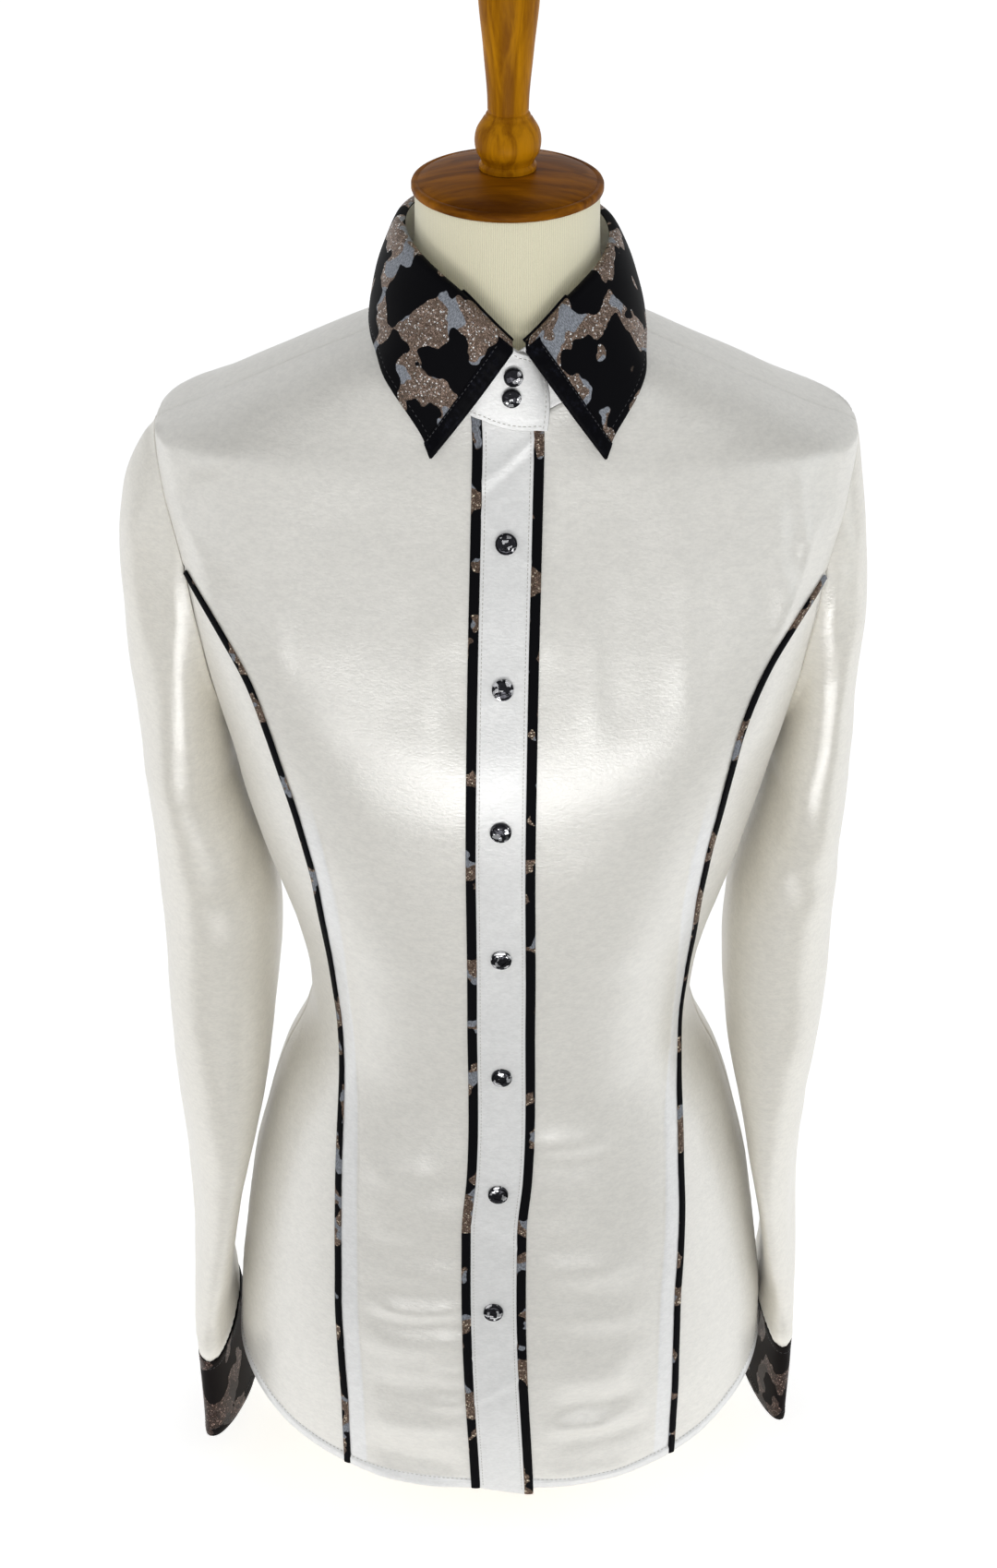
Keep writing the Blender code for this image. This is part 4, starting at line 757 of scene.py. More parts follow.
def addWall(name, outer, inner, looks, wrap=False, uv=None, rounding=0.35):
    # two grids of points closed by a rounded rim; the second look is for the rim and the inside
    rows, columns = outer.shape[:2]
    count = rows * columns
    points = [outer.reshape(-1, 3), inner.reshape(-1, 3)]
    r, c = np.meshgrid(np.arange(rows - 1), np.arange(columns if wrap else columns - 1), indexing="ij")
    a, b = (r * columns + c).ravel(), (r * columns + (c + 1) % columns).ravel()
    d, e = a + columns, b + columns
    faces = [np.stack([a, b, e, d], 1), np.stack([a, d, e, b], 1) + count]
    total = 2 * count
    extraUv = []
    for loop in rimLoops(rows, columns, wrap):
        rr, cc = np.array(loop).T
        at = rr * columns + cc
        out = np.zeros((len(loop), 3))
        for rowEdge, step in ((0, 1), (rows - 1, -1)):
            hit = rr == rowEdge
            out[hit] += unit(outer[rr[hit], cc[hit]] - outer[rr[hit] + step, cc[hit]])
        if not wrap:
            for columnEdge, step in ((0, 1), (columns - 1, -1)):
                hit = cc == columnEdge
                out[hit] += unit(outer[rr[hit], cc[hit]] - outer[rr[hit], cc[hit] + step])
        thick = np.linalg.norm(outer[rr, cc] - inner[rr, cc], axis=-1, keepdims=True)
        points.append((outer[rr, cc] + inner[rr, cc]) / 2 + unit(out) * thick * rounding)
        m, n = total + np.arange(len(loop)), at + count
        atNext, mNext, nNext = np.roll(at, -1), np.roll(m, -1), np.roll(n, -1)
        faces += [np.stack([atNext, at, m, mNext], 1), np.stack([mNext, m, n, nNext], 1)]
        total += len(loop)
        if uv is not None:
            extraUv.append(uv.reshape(-1, 2)[at])
    points, faces = np.concatenate(points), np.concatenate(faces)
    quad = points[faces[: len(a)]]
    normal = np.cross(quad[:, 2] - quad[:, 0], quad[:, 3] - quad[:, 1])
    if (normal * (outer - inner).reshape(-1, 3)[a]).sum() < 0:
        faces = faces[:, ::-1]
    if uv is not None:
        uv = np.concatenate([uv.reshape(-1, 2)] * 2 + extraUv)
    faceSlots = (np.arange(len(faces)) >= len(a)) & (len(looks) > 1)
    return addMesh(name, points, faces.tolist(), looks, faceSlots, uv, 75.0)


def tubeFaces(rows, sides):
    # rings of points joined one to the next, closed at both ends
    r, c = np.meshgrid(np.arange(rows - 1) * sides, np.arange(sides), indexing="ij")
    n = (c + 1) % sides
    faces = np.stack([r + c, r + n, r + n + sides, r + c + sides], axis=-1).reshape(-1, 4).tolist()
    return faces + [list(range(sides))[::-1], list(range((rows - 1) * sides, rows * sides))]


def circle(sides):
    return 2 * math.pi * np.arange(sides) / sides


def addTurned(name, profile, sides, look, slotName, part, smoothAngle, stretch=(1.0, 1.0, 1.0)):
    # rows of radius and height turned about Z
    angle = circle(sides)
    points = np.concatenate([stacked(r * np.cos(angle), r * np.sin(angle), z) for r, z in profile])
    points, faces = points * np.array(stretch), tubeFaces(len(profile), sides)
    wear(addMesh(name, points, faces, [look], smoothAngle=smoothAngle), slotName, part)


# every stitch is a small bead of thread lying on the cloth
stitchLook = {"pitch": 0.0026, "length": 0.0018, "radius": 0.00021, "sides": 5}
stitchLines = {"ivory": [], "dark": []}


def stitchRow(line, normal, pitch=stitchLook["pitch"]):
    # the points of every stitch of one sewn line: a stitch is four rings closed at both ends
    length = lengthAlong(line)
    count = max(int(length[-1] / pitch), 1)
    middles = (np.arange(count) + 0.5) * length[-1] / count
    half, radius = stitchLook["length"] / 2, stitchLook["radius"]
    here, out = pointsAt(middles, length, line), unit(pointsAt(middles, length, normal))
    way = unit(pointsAt(middles + half, length, line) - pointsAt(middles - half, length, line))
    side = np.cross(way, out)
    turn = circle(stitchLook["sides"])[None, :, None]
    rings = []
    for along, size, lift in ((-1.0, 0.45, -0.9), (-0.55, 1.0, 0.15), (0.55, 1.0, 0.15), (1.0, 0.45, -0.9)):
        ring = (here + way * half * along + out * radius * lift)[:, None]
        rings.append(ring + radius * size * (side[:, None] * np.cos(turn) + out[:, None] * np.sin(turn)))
    return np.stack(rings, axis=1)


def addStitches(name, lines, look, slotName):
    rows = np.concatenate([stitchRow(*line) for line in lines])
    count, rings, sides = rows.shape[:3]
    one, shift = tubeFaces(rings, sides), rings * sides * np.arange(count)[:, None, None]
    faces = []
    for part in (one[:-2], one[-2:]):
        faces += (np.array(part)[None] + shift).reshape(-1, len(part[0])).tolist()
    wear(addMesh(name, rows.reshape(-1, 3), faces, [look], smoothAngle=80), slotName)
    print(name, count)


# body panels
nearSeam = (0.0005, 0.0011, 0.0018, 0.0027, 0.0040)


def acrossEdge(line, neighbour):
    # from a line to its neighbour, square to the line
    along, towards = unit(np.gradient(line, axis=0)), neighbour - line
    return towards - (towards * along).sum(-1, keepdims=True) * along


def addColumns(grid, edgeAt, distances=nearSeam):
    # extra columns close to the grid's first or last one, so that a seam can turn in sharply
    for distance in sorted(distances, reverse=True):
        edge, beside = (grid[:, 0], grid[:, 1]) if edgeAt == 0 else (grid[:, -1], grid[:, -2])
        share = distance / np.linalg.norm(acrossEdge(edge, beside), axis=-1, keepdims=True)
        point = edge + (beside - edge) * np.minimum(share, 0.7)
        point[1:-1] = ontoBody(point[1:-1], 3)
        grid = np.insert(grid, 1 if edgeAt == 0 else grid.shape[1] - 1, point, axis=1)
    return grid


def patch(bottom, top, left, right, settle, smoothing):
    # a sheet on the body between its four edges
    share = lengthAlong((left + right) / 2)
    v = (share / share[-1])[:, None, None]
    u = np.linspace(0, 1, len(bottom))[None, :, None]
    grid = (1 - u) * left[:, None] + u * right[:, None]
    grid = grid + (1 - v) ** settle * (bottom - ((1 - u[0]) * left[0] + u[0] * right[0]))[None]
    grid = grid + v**settle * (top - ((1 - u[0]) * left[-1] + u[0] * right[-1]))[None]
    grid[1:-1, 1:-1] = ontoBody(grid[1:-1, 1:-1])
    for _ in range(smoothing):
        mean = (grid[:-2, 1:-1] + grid[2:, 1:-1] + grid[1:-1, :-2] + grid[1:-1, 2:]) / 4
        grid[1:-1, 1:-1] += 0.25 * (mean - grid[1:-1, 1:-1])
    grid[1:-1, 1:-1] = ontoBody(grid[1:-1, 1:-1], 3)
    return grid


def pulledIn(line, neighbour, amount):
    return line + amount * unit(acrossEdge(line, neighbour))


def parted(grid):
    # half the gap taken off at the two long seams and at the top
    grid, half = grid.copy(), cloth["seamGap"] / 2
    grid[:, 0] = pulledIn(grid[:, 0], grid[:, 1], half)
    grid[:, -1] = pulledIn(grid[:, -1], grid[:, -2], half)
    grid[-1] = pulledIn(grid[-1], grid[-2], half)
    return grid


def frontBase(side):
    upper = armholeFrontUpper(cloth["rowsAbove"])[::-1][1:]
    outer, inner = np.concatenate([princessSeam(side), upper]), centreColumn(centreEdge)
    lastAngle = math.atan2(centreEdge, cut["neckReach"])
    neck = neckPoint(np.linspace(cut["neckShoulderAngle"], lastAngle, cloth["neckSpans"] + 1))
    top = np.concatenate([shoulderSeam(), neck[1:]])
    top[-1] = inner[-1]
    x = np.linspace(outer[0][0], centreEdge, len(top))
    grid = patch(atWidth(x, hemHeight(x)), top, outer, inner, 1.6, 6)
    grid = addColumns(grid, 0, nearSeam + (0.0085, 0.0095, 0.0105))
    strip = np.stack([centreColumn(x) for x in (placketHalf, placketHalf / 2, 0.0)], axis=1)
    return np.concatenate([grid, strip], axis=1)


def sideBase(side):
    inner, outer = princessSeam(side), sideSeam()
    top = armholeFrontLower(cloth["sideSpans"])[::-1]
    x = np.linspace(outer[0][0], inner[0][0], cloth["sideSpans"] + 1)
    bottom = atWidth(x, hemHeight(x))
    bottom[0] = outer[0]
    return addColumns(addColumns(patch(bottom, top, outer, inner, 3.0, 0), -1), 0)


def backBase():
    edge = np.concatenate([sideSeam(), armholeBack(cloth["rowsAbove"] * 2)[::-1][1:]])
    angle = np.linspace(cut["neckShoulderAngle"], math.pi, cloth["neckSpans"] + 1)
    top = np.concatenate([shoulderSeam(), neckPoint(angle)[1:]])
    width = edge[0][0] * np.sin(np.linspace(math.pi / 2, 0, len(top)))
    bottom = atWidth(width, hemHeight(width), 1)
    bottom[0] = edge[0]
    bottom, top = [np.concatenate([mirror(half, "right"), half[::-1][1:]]) for half in (bottom, top)]
    return addColumns(addColumns(patch(bottom, top, mirror(edge, "right"), edge, 1.0, 6), -1), 0)


hem = {
    "depth": 0.0064,
    "lift": 0.00080,
    "step": 0.0012,            # over which the cloth comes down off the hem's upper edge
    "groove": 0.00060,
    "grooveWidth": 0.0009,
    "stitchFromFold": 0.0006,
}
slackSeed = 11
# the seam allowance shows through beside the princess seams, up to the height of its top
allowance = {"width": 0.0132, "edge": 0.0009, "lift": 0.00032, "top": 0.52}
panelSeeds = {"front": (21, 22), "side_front": (31, 32), "back": (41, 42), "shoulder": (43, 44)}


def aboveHem(point):
    return point[..., 2] - hemHeight(point[..., 0])


def addPanel(name, grid, rise, keep, strip=0.0):
    # strip is 1 where a seam allowance lies under the cloth
    normal, above = bodyNormal(grid), aboveHem(grid)
    rise = rise + hem["lift"] * ease((hem["depth"] - above) / hem["step"])
    rise = rise - hem["groove"] * bell(above - hem["depth"] + hem["stitchFromFold"], hem["grooveWidth"])
    rise = rise + allowance["lift"] * strip
    outer = grid + normal * rise[..., None]
    doubled = np.maximum(strip, ease((hem["depth"] + 0.0004 - above) / 0.0008))
    uv = np.stack([doubled, np.zeros_like(doubled)], axis=-1)
    wear(addWall("sewn_" + name, outer, outer - cloth["wall"] * normal, [ivory], uv=uv), "satin", name)
    # the sewn line that holds the hem
    level = hem["depth"] - hem["stitchFromFold"]
    line = np.array([pointsAt(level, aboveHem(outer[:, c]), outer[:, c]) for c in range(outer.shape[1])])
    stitchLines["ivory"].append((line[keep], normal[9][keep]))


def frontRise(point):
    return foldRise(point, frontFolds, -1) + slackRise(point, slackSeed)


def addFront(side, index):
    base = frontBase(side)
    grid = parted(base)
    grid[:, -1] = base[:, -1]
    grid = drifted(mirror(grid, side))
    line = drifted(mirror(princessSeam(side), side))
    rise = frontRise(grid) + seamRise(grid, line, panelSeeds["front"][index])
    apart, _ = alongSeam(grid, line)
    strip = ease((allowance["width"] - apart) / allowance["edge"])
    strip = strip * ease((allowance["top"] - grid[..., 2]) / 0.04)
    addPanel("front_" + side, grid, rise, slice(2, -5), strip)


def addSideFront(side, index):
    grid = drifted(mirror(parted(sideBase(side)), side))
    seed = panelSeeds["side_front"][index]
    rise = frontRise(grid) + seamRise(grid, drifted(mirror(princessSeam(side), side)), seed)
    rise += seamRise(grid, mirror(sideSeam(), side), seed + 4)
    addPanel("side_front_" + side, grid, rise, slice(2, -2))


def addBack():
    grid = parted(backBase())
    rise = foldRise(grid, backFolds, 1) + slackRise(grid, slackSeed)
    for index, side in enumerate(("right", "left")):
        rise += seamRise(grid, mirror(sideSeam(), side), panelSeeds["back"][index])
        line, seed = mirror(shoulderSeam(), side), panelSeeds["shoulder"][index]
        rise += seamRise(grid, line, seed, seam["shoulderPucker"])
    addPanel("back", grid, rise, slice(2, -2))


for index, side in enumerate(("right", "left")):
    addFront(side, index)
    addSideFront(side, index)
addBack()
print("body panels made")


# hanging sections of a sleeve: height, outer side, inner side, half depth, turn of the front edge
sleeveSections = [
    (0.485, 0.196, 0.15, 0.064, 0.0), (0.455, 0.1938, 0.143, 0.063, 0.0),
    (0.425, 0.1924, 0.135, 0.0615, 0.0), (0.395, 0.1914, 0.1302, 0.0595, 0.0),
    (0.365, 0.191, 0.129, 0.058, 0.0), (0.335, 0.1904, 0.13, 0.057, 0.0),
    (0.295, 0.1892, 0.134, 0.0558, -0.003), (0.255, 0.188, 0.141, 0.0548, -0.007),
    (0.215, 0.1868, 0.15, 0.0538, -0.01), (0.18, 0.1864, 0.1558, 0.0525, -0.009),
    (0.15, 0.1858, 0.16, 0.0512, -0.006), (0.12, 0.1844, 0.1622, 0.05, -0.001),
    (0.085, 0.1816, 0.1628, 0.049, 0.003), (0.065, 0.1804, 0.159, 0.0484, 0.0062),
    (0.045, 0.1792, 0.154, 0.048, 0.009), (0.025, 0.1784, 0.1504, 0.0478, 0.0112),
]
sleeveHead = [
    (0.485, 0.196), (0.521, 0.1974), (0.579, 0.199), (0.635, 0.1983), (0.662, 0.1945), (0.686, 0.187),
]
# the wearer's right sleeve hangs this much further out than the mean, the left one nearer: height, shift
sleeveSwing = [
    (0.06, 0.0012), (0.12, 0.0022), (0.2, 0.0034), (0.4, 0.0024), (0.46, 0.0022), (0.52, 0.0045),
    (0.577, 0.0062), (0.66, 0.0058), (0.686, 0.0),
]
# from turn, height to turn, height, half width, rise
# turn 0 is the outer side, 0.25 the front, 0.5 the inner side
sleeveFolds = {
    "right": [
        (0.185, 0.655, 0.245, 0.575, 0.006, -0.0022), (0.14, 0.66, 0.19, 0.56, 0.007, 0.0014),
        (0.3, 0.59, 0.23, 0.5, 0.0075, 0.0018), (0.33, 0.54, 0.26, 0.455, 0.0065, -0.0016),
        (0.4, 0.47, 0.29, 0.43, 0.008, 0.0022), (0.41, 0.435, 0.26, 0.415, 0.006, -0.0018),
        (0.38, 0.4, 0.22, 0.385, 0.008, 0.0016), (0.06, 0.6, 0.1, 0.42, 0.012, 0.001),
        (0.11, 0.56, 0.15, 0.43, 0.008, -0.0007), (0.02, 0.42, 0.14, 0.36, 0.01, 0.0009),
        (0.13, 0.33, 0.18, 0.17, 0.009, 0.0009), (0.08, 0.3, 0.12, 0.14, 0.009, -0.0007),
        (0.22, 0.22, 0.2, 0.12, 0.006, 0.001), (0.56, 0.52, 0.7, 0.44, 0.008, 0.0018),
        (0.58, 0.47, 0.72, 0.41, 0.007, -0.0014), (0.56, 0.43, 0.74, 0.38, 0.008, 0.0016),
        (0.64, 0.62, 0.72, 0.52, 0.008, 0.0014), (0.72, 0.33, 0.78, 0.18, 0.008, 0.0011),
        (0.84, 0.5, 0.88, 0.34, 0.01, 0.0009), (0.64, 0.2, 0.62, 0.095, 0.0045, 0.0016),
        (0.71, 0.19, 0.7, 0.095, 0.0045, 0.0014),
    ],
    "left": [
        (0.17, 0.665, 0.215, 0.6, 0.0045, 0.0022), (0.205, 0.65, 0.24, 0.57, 0.004, -0.002),
        (0.175, 0.62, 0.26, 0.52, 0.0055, 0.0024), (0.23, 0.58, 0.29, 0.5, 0.005, -0.0022),
        (0.33, 0.5, 0.15, 0.44, 0.008, 0.0024), (0.38, 0.47, 0.19, 0.425, 0.006, -0.0018),
        (0.33, 0.42, 0.16, 0.415, 0.007, 0.001), (0.06, 0.61, 0.09, 0.43, 0.011, 0.0009),
        (0.12, 0.56, 0.15, 0.45, 0.008, -0.0008), (0.02, 0.4, 0.12, 0.35, 0.011, 0.0008),
        (0.2, 0.36, 0.18, 0.29, 0.008, 0.0008), (0.15, 0.26, 0.17, 0.14, 0.009, 0.001),
        (0.09, 0.24, 0.11, 0.11, 0.009, -0.0006), (0.56, 0.53, 0.69, 0.45, 0.008, 0.0018),
        (0.59, 0.48, 0.72, 0.42, 0.007, -0.0014), (0.56, 0.42, 0.73, 0.375, 0.008, 0.0015),
        (0.65, 0.62, 0.73, 0.53, 0.008, 0.0014), (0.73, 0.32, 0.77, 0.17, 0.008, 0.0011),
        (0.86, 0.49, 0.89, 0.33, 0.01, 0.0009), (0.64, 0.2, 0.62, 0.095, 0.0045, 0.0016),
        (0.71, 0.19, 0.7, 0.095, 0.0045, 0.0014),
    ],
}
sleeve = {
    "hangsFrom": 0.485,        # height where it leaves the armhole's curve and hangs straight
    "bottom": 0.0853,
    "headRows": 46,
    "rows": 134,
    "underBend": math.radians(168.0),          # how far the cloth turns back under the arm
    "forward": {"right": 0.0060, "left": -0.0125},     # how far each cuff hangs forward
    "foldWidth": 1.6,
    "foldHeight": 0.75,
    "slack": 1.6,
    "slackSeeds": {"right": 31, "left": 47},
    "gathers": 31,
    "gatherHeight": 0.00035,
    # over the cuff, and more at the front: swell, height on the sleeve, half width
    "blouse": (0.0014, 0.098, 0.012),
    "frontBlouse": (0.0020, 0.092, 0.009),
    "cuffGroove": (0.0006, 0.0016),            # depth, half width
    "headGroove": 0.0004,
}


def swing(side, z):
    return -sideSign[side] * read(sleeveSwing, 1, z)


def sleeveSection(side, z, turns):
    outer, inner = read(sleeveSections, 1, z) + swing(side, z), read(sleeveSections, 2, z)
    depth, turn = read(sleeveSections, 3, z), read(sleeveSections, 4, z)
    half = np.sqrt(((outer - inner) / 2) ** 2 - turn**2)
    forward = sleeve["forward"][side] * np.clip((0.5 - z) / 0.42, 0, 1) ** 1.5
    angle = 2 * math.pi * np.asarray(turns, float)
    cos, sin = np.cos(angle), np.sin(angle)
    x = (outer + inner) / 2 + half * np.sign(cos) * np.abs(cos) ** 0.9 + turn * sin
    return stacked(x, -depth * np.sign(sin) * np.abs(sin) ** 0.86 - forward, z)


def sectionTurns(side, z, half):
    # turns evenly spaced along the front half and along the back half
    dense = np.linspace(0, 1, 1441)
    length = lengthAlong(sleeveSection(side, z, dense))
    middle = length[len(dense) // 2]
    front = np.interp(np.linspace(0, middle, half + 1), length, dense)
    back = np.interp(np.linspace(middle, length[-1], half + 1), length, dense)
    return np.concatenate([front, back[1:-1]])


def sleeveBase(side):
    half = cloth["sleeveAround"] // 2
    upper, lower = armholeFrontUpper(half // 2), armholeFrontLower(half // 2)
    ring = np.concatenate([upper, lower[1:], armholeBack(half)[::-1][1:-1]])
    normal = bodyNormal(ring)
    along = unit(np.roll(ring, -1, axis=0) - np.roll(ring, 1, axis=0))
    across = unit(np.cross(along, normal))
    across *= np.sign(((ring.mean(axis=0) - ring) * across).sum(-1, keepdims=True))
    share = (cut["shoulderTip"][2] - ring[:, 2:3]) / cut["armholeDepth"]
    bend = sleeve["underBend"] * np.clip(share, 0, 1) ** 1.1
    start = np.cos(bend) * across + np.sin(bend) * normal
    lifted = np.minimum(bend, math.pi / 2)
    first = ring + cloth["seamGap"] * (np.cos(lifted) * across + np.sin(lifted) * normal)
    top = sleeve["hangsFrom"]
    target = sleeveSection(side, top, sectionTurns(side, top, half))
    reach = np.linalg.norm(target - first, axis=1, keepdims=True)
    facing = np.clip(np.cos(circle(len(ring))), 0, 1) ** 1.3
    rows = []
    for t in np.linspace(0, 1, sleeve["headRows"])[:-1] ** 1.25:
        row = (1 + 2 * t) * (1 - t) ** 2 * first + t * (1 - t) ** 2 * 0.42 * reach * start
        row = row + t * t * (3 - 2 * t) * target - t * t * (t - 1) * 0.9 * reach * up
        z = float(row[0, 2])
        row[:, 0] += (read(sleeveHead, 1, z) + swing(side, z) - row[0, 0]) * facing * min(t / 0.07, 1)
        rows.append(row)
    for z in np.linspace(top, sleeve["bottom"], sleeve["rows"]):
        rows.append(sleeveSection(side, z, sectionTurns(side, z, half)))
    return np.array(rows), start


def tubeNormals(grid, start):
    along = np.roll(grid, -1, axis=1) - np.roll(grid, 1, axis=1)
    down = np.gradient(grid, axis=0)
    down[0] = start
    normal = unit(np.cross(along, down))
    middle = grid[-1].mean(axis=0)
    return normal if ((grid[-1] - middle) * normal[-1]).sum() > 0 else -normal


def sleeveRise(side, grid):
    rows, count = grid.shape[:2]
    rise = slackRise(grid, sleeve["slackSeeds"][side], sleeve["slack"])
    upward = grid[::-1]
    for turn1, z1, turn2, z2, width, height in sleeveFolds[side]:
        line = []
        for t in np.linspace(0, 1, 21):
            column = int(round((turn1 + (turn2 - turn1) * t) * count)) % count
            line.append(pointsAt(z1 + (z2 - z1) * t, upward[:, column, 2], upward[:, column]))
        addFold(rise, grid, np.array(line), width * sleeve["foldWidth"], height * sleeve["foldHeight"])
    z, turn = grid[..., 2], np.arange(count)[None] / count
    toFront = np.abs((turn - 0.25 + 0.5) % 1 - 0.5)
    swell, level, width = sleeve["blouse"]
    rise += swell * bell(z - level, width)
    swell, level, width = sleeve["frontBlouse"]
    rise += swell * bell(z - level, width) * bell(toFront, 0.05)
    gathers = np.sin(2 * math.pi * turn * sleeve["gathers"] + 3 * np.sin(2 * math.pi * turn * 3))
    above = z - sleeve["bottom"]
    rise += sleeve["gatherHeight"] * gathers * np.exp(-(above / 0.016)) * (z < 0.2)
    rise -= sleeve["cuffGroove"][0] * bell(above, sleeve["cuffGroove"][1])
    return rise * ease(np.arange(rows) / 14.0)[:, None]


def addSleeve(side, look):
    base, start = sleeveBase(side)
    normal = tubeNormals(base, start)
    outer = base + normal * sleeveRise(side, base)[..., None]
    crown = bell(np.arange(len(base)), 2.2)[:, None, None]
    outer = outer - crown * sleeve["headGroove"] * normal
    inner = outer - cloth["wall"] * tubeNormals(outer, start)
    piece = addWall("sewn_sleeve_" + side, mirror(outer, side), mirror(inner, side), [look], wrap=True)
    wear(piece, "satin", "sleeve_" + side)


# a cuff is a strip once round and on under its own end
cuff = {
    "top": 0.0850,
    "height": 0.0600,
    "lap": math.radians(34.0) / (2 * math.pi),
    "lapFrom": 0.86,           # turn at which the outer end lies
    "around": 150,
    "rows": 22,
    "lift": 0.0010,
    "edgeSwell": 0.0003,
    "printAt": {"right": (0.31, 0.07), "left": (0.64, 0.22)},
}


def cuffGrid(side, lift):
    travelled = np.linspace(0, 1 + cuff["lap"], cuff["around"])
    hidden = np.clip((travelled - (1 - cuff["lap"] * 0.9)) / (cuff["lap"] * 0.8), 0, 1)
    rows = []
    for share in np.linspace(0, 1, cuff["rows"]):
        z = cuff["top"] - share * cuff["height"]
        turns = np.concatenate([sectionTurns(side, z, 80), [1.0]])
        found = np.interp((cuff["lapFrom"] - travelled) % 1.0, np.linspace(0, 1, len(turns)), turns)
        middle = sleeveSection(side, z, np.linspace(0, 1, 60)).mean(axis=0)
        line = sleeveSection(side, z, found)
        ahead = sleeveSection(side, z, found + 1e-3) - sleeveSection(side, z, found - 1e-3)
        out = unit(stacked(ahead[:, 1], -ahead[:, 0], 0.0))
        out *= np.sign((out * (line - middle)).sum(-1, keepdims=True))
        edge = cuff["edgeSwell"] * bell(min(share, 1 - share) - 0.04, 0.03)
        sink = (cloth["collarWall"] + cloth["gap"]) * hidden
        rows.append(line + out * (cuff["lift"] + lift + edge - sink)[:, None])
    return np.array(rows)


def lengthsOf(grid):
    # flat (u, v) of each point of a grid, in metres
    u = np.array([lengthAlong(row) for row in grid])
    v = np.array([lengthAlong(column) for column in grid.transpose(1, 0, 2)]).T
    return np.stack([u, v], axis=-1)


def addCuff(side, look, lining):
    outer, inner = mirror(cuffGrid(side, 0.0), side), mirror(cuffGrid(side, -cloth["collarWall"]), side)
    uv = lengthsOf(outer) + np.array(cuff["printAt"][side])
    wear(addWall("sewn_cuff_" + side, outer, inner, [look, lining], uv=uv), "leopard_lame", "cuff_" + side)
    normal = unit(outer - inner)
    for line in (np.s_[2, 4:-20], np.s_[-3, 4:-20], np.s_[2:-2, 3]):
        stitchLines["dark"].append((outer[line], normal[line]))
    r, c = cuff["rows"] // 2, int(round(cuff["around"] * 1.5 / 27))
    return outer[r, c], normal[r, c]


cuffSpots = {}
for side in ("right", "left"):
    addSleeve(side, warmShadeSleeveIvory)
    cuffSpots[side] = addCuff(side, shadedCuffPrint, blackBand)
print("sleeves made")


# the roll is the collar's upper fold: angle from the opening, height
rollHeights = [
    (0.0, 0.7509), (4.0, 0.7534), (11.0, 0.7591), (19.0, 0.7661), (30.0, 0.7751), (44.0, 0.7821),
    (57.0, 0.7865), (72.0, 0.7901), (90.0, 0.7927), (130.0, 0.7944), (180.0, 0.7939),
]
# the leaf's outer edge: angle from the opening, height, stand-off from the shirt
leafEdge = [
    (34.0, 0.6945, 0.0038), (38.0, 0.7048, 0.0038), (43.0, 0.7143, 0.0038), (50.5, 0.7254, 0.0038),
    (58.0, 0.733, 0.004), (75.0, 0.7408, 0.0042), (90.0, 0.7432, 0.0045), (120.0, 0.746, 0.007),
    (150.0, 0.7475, 0.0085), (180.0, 0.748, 0.009),
]
roll = {"side": 0.0535, "front": 0.0600, "back": 0.0590, "tilt": 0.0024, "turn": math.radians(6.5)}
stand = {
    "over": math.radians(21.6),        # how far each end passes the middle
    "under": math.radians(14.0),
    "columns": 240,
    "rows": 26,
    "inset": 0.0022,           # of the sewn line from the edge
    "stitchDepth": 0.00012,
    "slack": 0.25,
    "slackSeed": 5,
    "off": 0.0016,             # from the neck
    "overLift": 0.0028,        # more where the upper end crosses the placket
    "hang": 0.0085,            # its lower edge hangs this much lower at the front end
    "slope": 0.034,            # its upper edge falls this much a radian past the opening
    "endDrop": 0.0125,         # and this much more at the very end
}
leaf = {
    "start": math.radians(3.4),
    "tip": math.radians(30.6),
    "edgeTurn": math.radians(4.2),
    "rollShare": 0.09,         # share of the leaf that rolls over the stand
    "columns": 330,
    "rows": 64,
    "bandWidth": 0.0086,
    "stitchFromEdge": 0.0042,
    "stitchDepth": 0.00016,
    "edgeDrop": 0.00025,
    "bow": 0.0030,             # how far the cloth bows out between the roll and the edge
    "wave": 0.5,               # how far the leaf's cloth strays from its smooth form
    "waveSeed": 12,
    "ripple": 0.00035,
    "pitch": 0.0030,           # of its stitches
    # three points of its fold over the stand: how far outward and upward of the roll
    "foldInside": (-0.0012, 0.0028),
    "foldTop": (0.0024, 0.0033),
    "foldOver": (0.0052, 0.0002),
}
# the black bands over the leaf's front edges
band = {"wall": 0.00075, "edgeThinner": 0.00045, "wrinkle": 0.00012, "rows": 70, "columns": 13}
standSweep = 2 * math.pi + stand["over"] + stand["under"]


def rollPoint(angle):
    angle = np.asarray(angle, float)
    reach = np.where(np.cos(angle) > 0, roll["front"], roll["back"])
    away = np.abs((angle - roll["turn"] + math.pi) % (2 * math.pi) - math.pi)
    z = read(rollHeights, 1, np.degrees(away)) - roll["tilt"] * np.sin(angle)
    return stacked(roll["side"] * np.sin(angle), -reach * np.cos(angle), z)


def rollSteepness(angle):
    step = rollPoint(angle + 0.01) - rollPoint(angle - 0.01)
    return np.linalg.norm(step, axis=-1) / np.linalg.norm(step[..., :2], axis=-1)


def flatOutward(angle):
    return unit(stacked(np.sin(angle), -np.cos(angle), 0.0))


